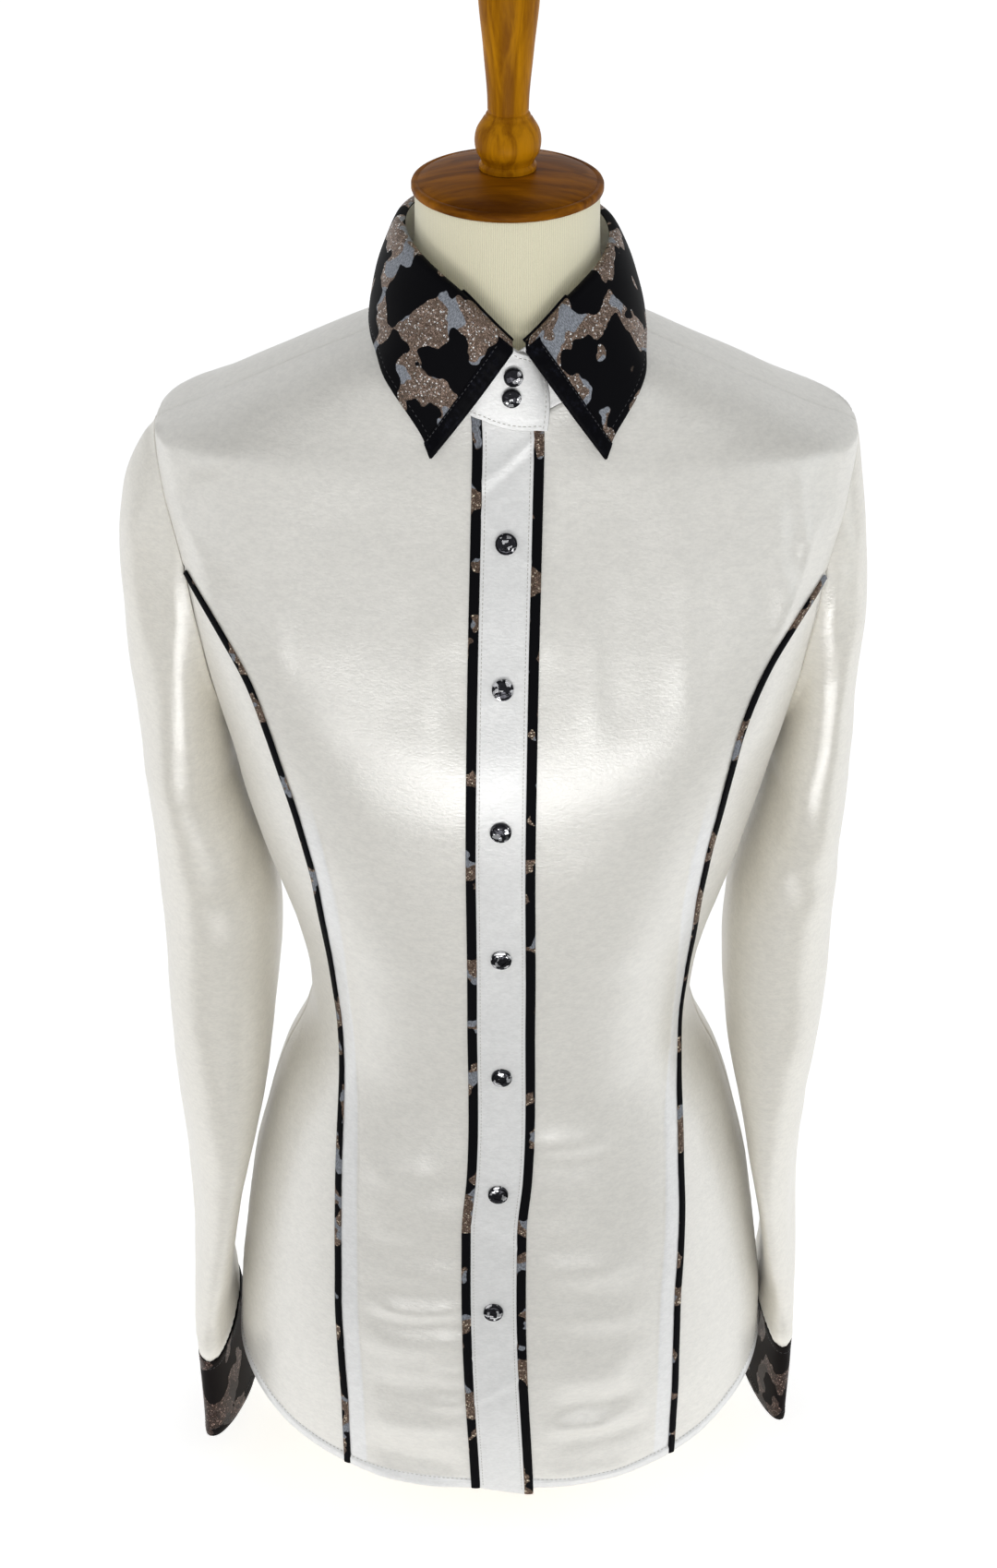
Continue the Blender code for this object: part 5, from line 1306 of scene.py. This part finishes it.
def standPoint(travelled, share, lift):
    nearEnd = np.clip(1 - travelled / math.radians(16), 0, 1)
    corner = np.clip(1 - travelled / math.radians(8), 0, 1)
    hang = np.clip(1 - travelled / math.radians(32), 0, 1)
    rounding = math.radians(4.0) * (1 - share) ** 2 + math.radians(1.5) * share**4
    angle = stand["over"] - travelled - corner * rounding
    low = atAngle(angle, neckHeight(angle) + cloth["gap"] * 1.3 - stand["hang"] * hang)
    high = rollPoint(angle)
    drop = np.maximum(angle - roll["turn"], 0) * stand["slope"] + stand["endDrop"] * nearEnd**2
    high[:, 2] -= np.where(travelled < 1.0, drop, 0)
    sink = (cloth["collarWall"] + cloth["gap"]) * np.clip((travelled - (standSweep - 1.75)) / 0.9, 0, 1)
    over = ease(1 - (travelled - math.radians(33)) / math.radians(16))
    out = stand["off"] + lift - sink + stand["overLift"] * over * (1 - 0.75 * share)
    return low + share * (high - low) + flatOutward(angle) * out[:, None]


def addStand(look):
    travelled = standSweep * np.linspace(0, 1, stand["columns"]) ** 1.25
    shares = 0.5 - 0.5 * np.cos(math.pi * np.linspace(0, 1, stand["rows"]))
    outer = np.array([standPoint(travelled, share, 0.0) for share in shares])
    inner = np.array([standPoint(travelled, share, -cloth["collarWall"]) for share in shares])
    out = unit(outer - inner)
    fromEnd = lengthAlong(outer[8])
    fromEnd[0] = fromEnd[1]
    rim = np.minimum(np.minimum(shares, 1 - shares)[:, None] * 0.028, fromEnd[None])
    rise = slackRise(outer, stand["slackSeed"], stand["slack"])
    rise = rise - stand["stitchDepth"] * bell(rim - stand["inset"], 0.0006)
    outer = outer + out * rise[..., None]
    wear(addWall("sewn_collar_stand", outer, inner, [look]), "satin", "collar_stand")
    for row, sign in ((0, 1), (-1, -1)):
        line = outer[row] + stand["inset"] * unit(outer[row + sign * 6] - outer[row])
        stitchLines["ivory"].append((line[6:70], out[row][6:70]))
    edge = outer[2:-2, 0] + stand["inset"] * unit(outer[2:-2, 5] - outer[2:-2, 0])
    stitchLines["ivory"].append((edge, out[2:-2, 0]))


def leafPoint(share, fall):
    share = np.asarray(share, float)
    half = 1 - np.abs(2 * share - 1)
    side = np.where(share < 0.5, 1.0, -1.0)
    rollAngle = leaf["start"] + half * (math.pi - leaf["start"])
    edgeAngle = rollAngle + leaf["tip"] * (1 - half) ** 3
    height, off = [read(leafEdge, column, np.degrees(edgeAngle)) for column in (1, 2)]
    turnedRoll = side * rollAngle + roll["turn"] * np.maximum(np.cos(rollAngle), 0) ** 0.5
    turnedEdge = side * edgeAngle + leaf["edgeTurn"] * np.maximum(np.cos(edgeAngle), 0) ** 0.5
    base, out = rollPoint(turnedRoll), flatOutward(turnedRoll)
    edge = atAngle(turnedEdge, height)
    edge = edge + bodyNormal(edge) * off[..., None]
    rise = up * rollSteepness(turnedRoll)[..., None]
    inside = base + leaf["foldInside"][0] * out + leaf["foldInside"][1] * rise
    top = base + leaf["foldTop"][0] * out + leaf["foldTop"][1] * rise
    over = base + leaf["foldOver"][0] * out + leaf["foldOver"][1] * up
    if fall <= leaf["rollShare"]:
        t = fall / leaf["rollShare"]
        return (1 - t) ** 2 * inside + 2 * t * (1 - t) * (2 * top - (inside + over) / 2) + t * t * over
    t = (fall - leaf["rollShare"]) / (1 - leaf["rollShare"])
    return over + t * (edge - over) + out * leaf["bow"] * math.sin(math.pi * t) ** 0.8


def bandShare(fall):
    a, b = leafPoint(np.array([0.0]), fall), leafPoint(np.array([1e-3]), fall)
    return leaf["bandWidth"] * 1e-3 / float(np.linalg.norm(b - a))


def leafGrid(shares, falls):
    grid = np.array([leafPoint(share, fall) for share, fall in zip(shares, falls)])
    guide = flatOutward(np.arctan2(grid[..., 0], -grid[..., 1])) + np.array([0, 0, 0.6])
    normal = unit(np.cross(np.gradient(grid, axis=1), np.gradient(grid, axis=0)))
    return grid, normal * np.sign((normal * guide).sum(-1, keepdims=True))


def leafWave(point, falls):
    # soft drags from the points towards the shoulder, more as the leaf falls away from its roll
    turn = np.arctan2(point[..., 0], -point[..., 1])
    ripple = leaf["ripple"] * np.sin(turn * 9 + 1.0) * np.sin(point[..., 2] * 160)
    wave = slackRise(point, leaf["waveSeed"], 1.1) + ripple
    return leaf["wave"] * wave * ease(falls[:, None] / 0.5)


def addBand(side, look):
    falls, across = np.linspace(0.075, 1.0, band["rows"]), np.linspace(0, 1, band["columns"])
    share = across[None] * np.array([bandShare(fall) for fall in falls])[:, None]
    grid, normal = leafGrid(share if side == "left" else 1 - share, falls)
    grid = grid + normal * leafWave(grid, falls)[..., None]
    fromEdge = np.minimum(across, 1 - across) * leaf["bandWidth"]
    swell = band["wall"] - band["edgeThinner"] * bell(fromEdge, 0.0009)
    wrinkle = band["wrinkle"] * np.sin(falls * 95 + 2 * np.sin(falls * 17))[:, None]
    low = grid + normal * cloth["gap"]
    high = low + normal * (swell[None] + wrinkle * np.sin(math.pi * across)[None])[..., None]
    name = "collar_band_" + side
    wear(addWall("sewn_" + name, high, low, [look], uv=lengthsOf(grid)), "black_satin", name)
    stitchLines["dark"].append((high[3:-2, -2], normal[3:-2, -2]))


def addLeaf(look, lining):
    onRoll, fromEdge = leaf["rollShare"], leaf["stitchFromEdge"]
    falls = np.concatenate([np.linspace(0, onRoll, 15), np.linspace(onRoll, 1, leaf["rows"] - 14)[1:]])
    even = np.linspace(0, 1, leaf["columns"])
    even = even - 0.07 * np.sin(2 * math.pi * even)
    grid, normal = leafGrid(np.broadcast_to(even, (len(falls), len(even))), falls)
    inward = np.array([lengthAlong(column[::-1])[::-1] for column in grid.transpose(1, 0, 2)]).T
    lift = leafWave(grid, falls) - leaf["stitchDepth"] * bell(inward - fromEdge, 0.0008)
    lift = lift - leaf["edgeDrop"] * bell(inward, 0.0008)
    outer = grid + normal * lift[..., None]
    uv = lengthsOf(grid)
    uv[..., 0] = np.mean(uv[..., 0], axis=0)[None]
    inner = outer - normal * cloth["collarWall"]
    wear(addWall("sewn_collar_leaf", outer, inner, [look, lining], uv=uv), "leopard_lame", "collar_leaf")
    columns = range(9, grid.shape[1] - 9)
    line = np.array([pointsAt(-fromEdge, -inward[:, c], outer[:, c]) for c in columns])
    stitchLines["dark"].append((line, normal[-8, 9:-9], leaf["pitch"]))


addStand(crispIvory)
addLeaf(collarPrint, blackBand)
for side in ("right", "left"):
    addBand(side, blackBand)
print("collar made")


placket = {
    "columns": 27,
    "stitchFromEdge": 0.0016,
    "pitch": 0.0022,
    "edgeDrop": 0.00030,
    "stitchDepth": 0.00014,
    "snapPucker": 0.00016,     # rise of the puckers round each snap
    "dimples": 26,
    "dimpleLevels": (0.06, 0.70),
    "dimpleLengths": (0.004, 0.010),
    "dimpleHeights": (-0.00026, 0.00042),
    # height on the front, slope, rise of each crease across the strip
    "creases": (
        (0.1530, 0.5, 0.0009), (0.1490, 0.4, -0.0007), (0.1235, 0.7, 0.0008), (0.1190, 0.6, -0.0006),
        (0.2330, -0.6, 0.0007), (0.6940, 0.8, 0.0009), (0.6860, 0.9, -0.0007), (0.6560, -0.9, 0.0006),
    ),
}
snap = {
    "heights": (0.6545, 0.5830, 0.5065, 0.4240, 0.3435, 0.2640, 0.1815),
    "collarHeights": (0.7390, 0.7280),
    "radius": 0.0057,
    "smallRadius": 0.0050,     # on the collar and the cuffs
    "off": 0.0002,             # from the placket
    "smallOff": 0.0004,        # from the collar and the cuffs
    "height": 0.0028,
    "sides": 64,
    # from the rim inwards: share of the radius, share of the height, 1 for the faceted ring, 2 for the square
    "profile": (
        (1.00, 0.00, 0), (1.00, 0.40, 0), (0.985, 0.52, 0), (0.95, 0.60, 0), (0.91, 0.62, 0), (0.88, 0.56, 0),
        (0.86, 0.56, 0), (0.83, 0.74, 0), (0.78, 0.84, 1), (0.66, 0.90, 1), (0.52, 0.95, 1), (0.40, 0.97, 2),
        (0.37, 0.84, 2), (0.22, 0.88, 2), (0.06, 0.96, 2),
    ),
}


def sloped(across):
    # how far the placket's last 12 rows drop; across is 0 at its right edge and 1 at its left
    return cut["placketDrop"] * across * np.linspace(1, 0, 12)


def addPlacket(look):
    across = placketHalf * np.sin(np.linspace(-math.pi / 2, math.pi / 2, placket["columns"]))
    columns = []
    for x in across:
        column = centreColumn(abs(x)) * np.array([math.copysign(1, x), 1, 1])
        column[:12, 2] -= sloped((x + placketHalf) / (2 * placketHalf))
        columns.append(column)
    grid = drifted(np.stack(columns, axis=1))
    grid[-1] = pulledIn(grid[-1], grid[-2], cloth["gap"] / 2)
    normal, under, z = bodyNormal(grid), frontRise(grid), grid[..., 2]
    inEdge = placketHalf - np.abs(across)
    rise = under - (placket["edgeDrop"] * bell(inEdge, 0.0007))[None]
    rise -= (placket["stitchDepth"] * bell(inEdge - placket["stitchFromEdge"], 0.0006))[None]
    dice = np.random.default_rng(8)
    for _ in range(placket["dimples"]):
        level, length = dice.uniform(*placket["dimpleLevels"]), dice.uniform(*placket["dimpleLengths"])
        slope, height = dice.uniform(-0.9, 0.9), dice.uniform(*placket["dimpleHeights"])
        x = across[None] - dice.uniform(-0.009, 0.009)
        rise += height * bell(z - level - slope * x, length) * bell(x, 0.007)
    for level, slope, height in placket["creases"]:
        rise += height * bell(z - level - slope * across[None], 0.0026)
    for level in snap["heights"]:
        away, turn = np.hypot(z - level, across[None]), np.arctan2(z - level, across[None])
        rise += placket["snapPucker"] * np.sin(turn * 7 + level * 90) * bell(away - 0.0075, 0.0028)
    outer = grid + normal * (cloth["gap"] + cloth["trimWall"] + rise)[..., None]
    inner = grid + normal * (cloth["gap"] + under)[..., None]
    wear(addWall("sewn_placket", outer, inner, [look]), "satin", "placket")
    for edge in (-1, 1):
        at = edge * (placketHalf - placket["stitchFromEdge"])
        line = np.array([pointsAt(at, across, row) for row in outer[2:-3]])
        stitchLines["ivory"].append((line, normal[2:-3, 0], placket["pitch"]))
    return outer[:, len(across) // 2], normal[:, len(across) // 2]


# half round covered cords laid along the seams: half width, lift off the cloth, where the print starts
piping = {
    "height": 0.0016,
    "sides": 13,
    "girth": 0.0062,           # of the print round the cord
    "fromNeck": 0.0006,        # gap at the placket pipings' upper ends
    "fromArmhole": 0.0028,     # and at the princess pipings'
    "placket": (0.0027, cloth["gap"], {"right": (0.11, 0.03), "left": (0.29, 0.115)}),
    "princess": (0.0022, cloth["gap"] * 1.2, {"right": (0.42, 0.06), "left": (0.53, 0.21)}),
}


def addPiping(kind, side, rail, look):
    half, lift, printAt = piping[kind]
    normal, under = bodyNormal(rail), frontRise(rail)
    across = unit(np.cross(normal, unit(np.gradient(rail, axis=0))))
    turn = np.linspace(0, math.pi, piping["sides"])
    bead = [(-math.cos(t), lift + math.sin(t) ** 0.5 * (piping["height"] - lift)) for t in turn]
    bead += [(0.5, lift), (-0.5, lift)]
    grid = np.stack([rail + across * (half * s) + normal * (h + under)[:, None] for s, h in bead], axis=1)
    around = np.concatenate([(turn / math.pi - 0.5) * piping["girth"], [0.004, -0.004]])
    uv = np.stack(np.broadcast_arrays(around[None], lengthAlong(rail)[:, None]), axis=-1) + printAt[side]
    faces = tubeFaces(*grid.shape[:2])
    a, b, _, d = grid.reshape(-1, 3)[faces[0]]
    if (np.cross(b - a, d - a) * (a - grid[0].mean(axis=0))).sum() < 0:
        faces = [face[::-1] for face in faces]
    name = "%s_piping_%s" % (kind, side)
    piece = addMesh("sewn_" + name, grid.reshape(-1, 3), faces, [look], uv=uv.reshape(-1, 2), smoothAngle=60)
    wear(piece, "leopard_lame", name)


def shortened(rail, amount):
    rail[-1] += amount * unit(rail[-2] - rail[-1])
    return rail


def addPipings(look):
    at = placketHalf + 0.0001 + piping["placket"][0]
    for side in ("right", "left"):
        rail = mirror(centreColumn(at), side)
        if side == "left":
            rail[:12, 2] -= sloped(1.0)
        addPiping("placket", side, shortened(drifted(rail), piping["fromNeck"]), look)
    for side in ("right", "left"):
        rail = drifted(mirror(princessSeam(side), side))
        addPiping("princess", side, shortened(rail, piping["fromArmhole"]), look)


def addSnap(name, point, normal, radius, look, turn):
    # a rim, a groove and a low faceted top with a square pyramid sunk in its middle
    across = unit(np.cross(up, normal))
    along, angle = np.cross(normal, across), circle(snap["sides"])
    corner = (angle - turn + math.pi / 4) % (math.pi / 2) - math.pi / 4
    facet = (angle - turn) % (math.pi / 4) - math.pi / 8
    shapes = (1.0, 1 - 0.03 * np.cos(facet * 8), 0.92 / np.maximum(np.cos(corner), 0.72))
    dips = (0.0, 0.07 * np.abs(facet) / 0.39, 0.0)
    points = []
    for share, z, form in snap["profile"]:
        r, h = radius * share * shapes[form], snap["height"] * (z - dips[form]) * np.ones(len(angle))
        flat = across * (r * np.cos(angle))[:, None] + along * (r * np.sin(angle))[:, None]
        points.append(point + flat + normal * h[:, None])
    faces = tubeFaces(len(points), snap["sides"])
    wear(addMesh("metal_" + name, np.concatenate(points), faces, [look], smoothAngle=22), "snap_metal", name)


def addSnaps(look, middle, normals):
    for k, z in enumerate(snap["heights"]):
        normal = normals[int(np.argmin(np.abs(middle[:, 2] - z)))]
        point = pointsAt(z, middle[:, 2], middle) + snap["off"] * normal
        addSnap("placket_snap_%d" % (k + 1), point, normal, snap["radius"], look, 0.25 * k)
    for k, z in enumerate(snap["collarHeights"]):
        travelled = np.array([stand["over"] - math.radians(3.4 - 0.9 * k)])
        low, high = standPoint(travelled, 0.0, 0.0)[0], standPoint(travelled, 1.0, 0.0)[0]
        lean, out = unit(high - low), flatOutward(stand["over"] - travelled)[0]
        normal = unit(out - (out * lean).sum() * lean)
        point = standPoint(travelled, (z - low[2]) / (high[2] - low[2]), 0.0)[0] + snap["smallOff"] * normal
        addSnap("collar_snap_%d" % (k + 1), point, normal, snap["smallRadius"], look, 0.4 + k)
    for side, (point, normal) in cuffSpots.items():
        point = point + snap["smallOff"] * normal
        addSnap("cuff_snap_" + side, point, normal, snap["smallRadius"], look, 0.2)


# how far the form stays inside the shirt: height, at the side, in front, behind
formClearance = [
    (0.05, 0.0055, 0.0055, 0.0055), (0.2, 0.005, 0.0055, 0.005), (0.33, 0.0045, 0.0055, 0.005),
    (0.45, 0.005, 0.005, 0.006), (0.6, 0.0054, 0.0038, 0.0056), (0.63, 0.0066, 0.0038, 0.0046),
    (0.66, 0.011, 0.004, 0.0042), (0.686, 0.016, 0.0042, 0.0045), (0.7, 0.01, 0.0042, 0.0045),
    (0.715, 0.0056, 0.0042, 0.0045), (0.735, 0.004, 0.0042, 0.0045),
]
# the form's neck: height, half width, reach to the front, to the back
formNeck = [
    (0.7475, 0.058, 0.053, 0.056), (0.756, 0.053, 0.0512, 0.0535), (0.772, 0.0492, 0.0492, 0.05),
    (0.792, 0.0478, 0.0478, 0.048), (0.8147, 0.0474, 0.0474, 0.0474),
]
form = {
    "bottom": 0.0900,
    "top": 0.8147,
    "sides": 144,
    "torsoRows": 110,
    "neckRows": 30,
    "torsoTop": 0.736,
    "cap": {"under": 0.815, "radius": 0.0493, "height": 0.0112},
    # the last two are shares of the foot's width: its rounded lower edge, a fine groove above its flat edge
    "foot": {"halfWidth": 0.095, "halfDepth": 0.062, "edge": 0.010, "groove": 0.012},
}
# radius and height of the turned finial, above the cap
finialProfile = [
    (0.0146, 0.0), (0.0148, 0.0018), (0.0136, 0.0042), (0.0160, 0.0090), (0.0170, 0.0145), (0.0160, 0.0205),
    (0.0126, 0.0265), (0.0105, 0.031), (0.0128, 0.062), (0.0156, 0.094), (0.0152, 0.0995), (0.011, 0.1035),
    (0.0020, 0.1045),
]
finialGrooves = ((0.0032, 0.0007), (0.0275, 0.0006), (0.0300, 0.0005))     # height, depth
grooveWidth = 0.0006
# the cap's edge: how far inside the full radius, height
capEdge = [
    (0.0030, 0.0), (0.0012, 0.0001), (0.0003, 0.0006), (0.0, 0.0014), (0.0, 0.0036), (0.0004, 0.0045),
    (0.0012, 0.0050), (0.0022, 0.0051), (0.0028, 0.0048), (0.0034, 0.0048), (0.0040, 0.0054),
]
capDome = [(0.82, 0.0070), (0.66, 0.0087), (0.5, 0.0099)]             # share of the radius, height
capMiddle = [(0.0190, 0.0107), (0.0150, 0.0110), (0.0040, 0.01115)]   # radius, height
# share of the foot's width at each height
footProfile = [(1.0, 0.0), (1.0, 0.012), (0.90, 0.022), (0.62, 0.034), (0.56, 0.050), (0.56, 0.0897)]
footLevels = [
    0.0, 0.0008, 0.0110, 0.0122, 0.0133, 0.0150, 0.0180, 0.0210, 0.0250, 0.0300, 0.0350, 0.0420, 0.0500,
    0.0600, 0.0750, 0.0890, 0.0897,
]


def formRing(z):
    angle = circle(form["sides"])
    neck = z > formNeck[0][0] - 1e-6
    rows, square = (formNeck, 2.0) if neck else (bodySections, read(bodySections, 4, z))
    across = np.sign(np.sin(angle)) * np.abs(np.sin(angle)) ** (2 / square)
    ahead = np.sign(np.cos(angle)) * np.abs(np.cos(angle)) ** (2 / square)
    reach = np.where(np.cos(angle) > 0, read(rows, 2, z), read(rows, 3, z))
    ring = stacked(read(rows, 1, z) * across, -reach * ahead, z)
    if neck:
        return ring
    side, front, back = [read(formClearance, column, z) for column in (1, 2, 3)]
    facing = np.where(np.cos(angle) > 0, front, back)
    ring = ring - (side + (facing - side) * np.cos(angle) ** 2)[:, None] * bodyNormal(ring)
    if z <= form["bottom"]:
        ring[:, 2] = z
    return ring


def addForm():
    neckFrom = formNeck[0][0]
    torso = np.linspace(form["bottom"], form["torsoTop"], form["torsoRows"])
    heights = np.concatenate([torso, np.linspace(neckFrom, form["top"], form["neckRows"])])
    points = np.concatenate([formRing(float(z)) for z in heights])
    body = addMesh("form_torso", points, tubeFaces(len(heights), form["sides"]), [ribbed], smoothAngle=60)
    wear(body, "form_jersey", "form_body")
    base, radius = form["cap"]["under"], form["cap"]["radius"]
    profile = [(radius - inset, base + z) for inset, z in capEdge]
    profile += [(radius * share, base + z) for share, z in capDome]
    profile += [(r, base + z) for r, z in capMiddle]
    addTurned("neck_cap", profile, 128, capWood, "cap_wood", "form_cap", 35)
    base += form["cap"]["height"] + cloth["gap"]
    radii, levels = np.array(finialProfile).T
    z = np.concatenate([np.linspace(0, levels[-2], 150), np.linspace(levels[-2], levels[-1], 8)[1:]])
    r = smoothValue(levels, radii, z)
    for at, depth in finialGrooves:
        r = r - depth * bell(z - at, grooveWidth)
    addTurned("turned_finial", list(zip(r, base + z)), 96, finialWood, "finial_wood", "form_finial", 40)
    shares, levels = np.array(footProfile).T
    z = np.array(footLevels)
    scale = np.interp(z, levels, shares)
    foot = form["foot"]
    scale[0] -= foot["edge"]
    scale[3] -= foot["groove"]
    stretch = (foot["halfWidth"], foot["halfDepth"], 1.0)
    addTurned("stand_foot", list(zip(scale, z)), 128, capWood, "cap_wood", "form_foot", 35, stretch)


middle, normals = addPlacket(crispIvory)
addPipings(pipingPrint)
addSnaps(gunmetal, middle, normals)
print("placket, pipings and snaps made")
addForm()
print("form made")
addStitches("hem_and_edge_stitches", stitchLines["ivory"], shadeGreyIvoryThread, "satin")
addStitches("trim_stitches", stitchLines["dark"], darkThread, "black_satin")
studio = {
    "floorColour": (0.90, 0.90, 0.90, 1.0),
    "frontShadeColour": (0.55, 0.55, 0.55, 1.0),    # painted shade: the floor in front of the form is darker
    "floorGlow": 0.60,         # painted light: the paper glows under and behind the form, though it is no lamp
    "glowFrom": -0.34,         # it fades out over this stretch of Y, in front of the form
    "glowTo": -0.145,
    "roomColour": (0.985, 0.995, 1.0, 1.0),
    "top": 0.36,               # brightness of the room from above, in front, at the sides and behind
    "front": 0.59,
    "side": 0.58,
    "back": 0.80,
    "topBand": (0.55, 0.9),    # sines of the directions over which each comes in
    "sideBand": (0.08, 0.60),
    "backBand": (0.0, 0.7),
    # each lamp's place, aim, width, height, power, colour and spread in degrees
    "lamps": {
        "strip_low": ((0.0, -1.30, 0.22), (0.0, -0.1, 0.75), 1.6, 0.30, 1.95, (1.0, 0.995, 0.985), 90),
        "softbox_left": ((-2.0, -0.9, 1.1), (0.0, 0.0, 0.45), 1.5, 2.0, 3.0, (1.0, 1.0, 1.0), 180),
        "softbox_right": ((2.0, -0.9, 1.1), (0.0, 0.0, 0.45), 1.5, 2.0, 5.0, (0.94, 0.985, 1.0), 180),
    },
}
view = {"place": (0.0040, -1.6123, 1.420), "down": 30.65, "roll": 0.4, "lens": 76.43, "sensor": 36.0}


def addFloor(half=6):
    mesh = bpy.data.meshes.new("floor")
    corners = [(-half, -half, 0), (half, -half, 0), (half, half, 0), (-half, half, 0)]
    mesh.from_pydata(corners, [], [(0, 1, 2, 3)])
    floor = bpy.data.objects.new("floor", mesh)
    bpy.context.collection.objects.link(floor)
    look, tree, surface = newLook("floor_paper", colour=studio["floorColour"], roughness=0.95, specular=0.1)
    mesh.materials.append(look)
    # painted shade on the floor in front of the form, and painted light where the paper glows elsewhere
    share = ramp(tree, split(tree, objectPlace(tree))[1], studio["glowFrom"], studio["glowTo"])
    feed(tree, surface, colour=blend(tree, share, studio["frontShadeColour"], studio["floorColour"]))
    surface.inputs["Emission Color"].default_value = (1.0, 1.0, 1.0, 1.0)
    tree.links.new(times(tree, share, studio["floorGlow"]), surface.inputs["Emission Strength"])


def addRoom():
    # a soft room round the form: dim above and in front, brighter at the sides and behind
    world = bpy.data.worlds.new("room")
    world.use_nodes = True
    tree = world.node_tree
    x, y, z = split(tree, node(tree, "TexCoord"))
    toTop = ramp(tree, z, *studio["topBand"])
    front = studio["front"]
    toSide = ramp(tree, maths(tree, "ABSOLUTE", x), *studio["sideBand"])
    value = times(tree, toSide, studio["side"] - front, front)
    value = times(tree, ramp(tree, y, *studio["backBand"]), studio["back"] - front, value)
    value = times(tree, value, maths(tree, "SUBTRACT", 1.0, toTop))
    background = tree.nodes["Background"]
    background.inputs["Color"].default_value = studio["roomColour"]
    tree.links.new(times(tree, toTop, studio["top"], value), background.inputs["Strength"])
    bpy.context.scene.world = world


def addLamp(name, place, aim, width, height, power, colour, spread):
    light = bpy.data.lights.new(name, "AREA")
    light.shape = "RECTANGLE"
    light.size, light.size_y, light.energy, light.color = width, height, power, colour
    light.spread = math.radians(spread)
    lamp = bpy.data.objects.new(name, light)
    lamp.location = place
    lamp.rotation_euler = (Vector(aim) - Vector(place)).to_track_quat("-Z", "Y").to_euler()
    lamp.visible_camera = False
    bpy.context.collection.objects.link(lamp)


def addCamera():
    lens = bpy.data.cameras.new("camera")
    lens.lens, lens.sensor_width, lens.sensor_fit = view["lens"], view["sensor"], "AUTO"
    camera = bpy.data.objects.new("camera", lens)
    tilt = Matrix.Rotation(math.pi / 2 - math.radians(view["down"]), 4, "X")
    spin = Matrix.Rotation(math.radians(view["roll"]), 4, "Z")
    camera.matrix_world = Matrix.Translation(view["place"]) @ tilt @ spin
    bpy.context.collection.objects.link(camera)
    bpy.context.scene.camera = camera


addFloor()
addRoom()
for name, values in studio["lamps"].items():
    addLamp(name, *values)
addCamera()
bpy.context.scene.view_settings.view_transform = "Standard"
print("floor, lights and camera placed")
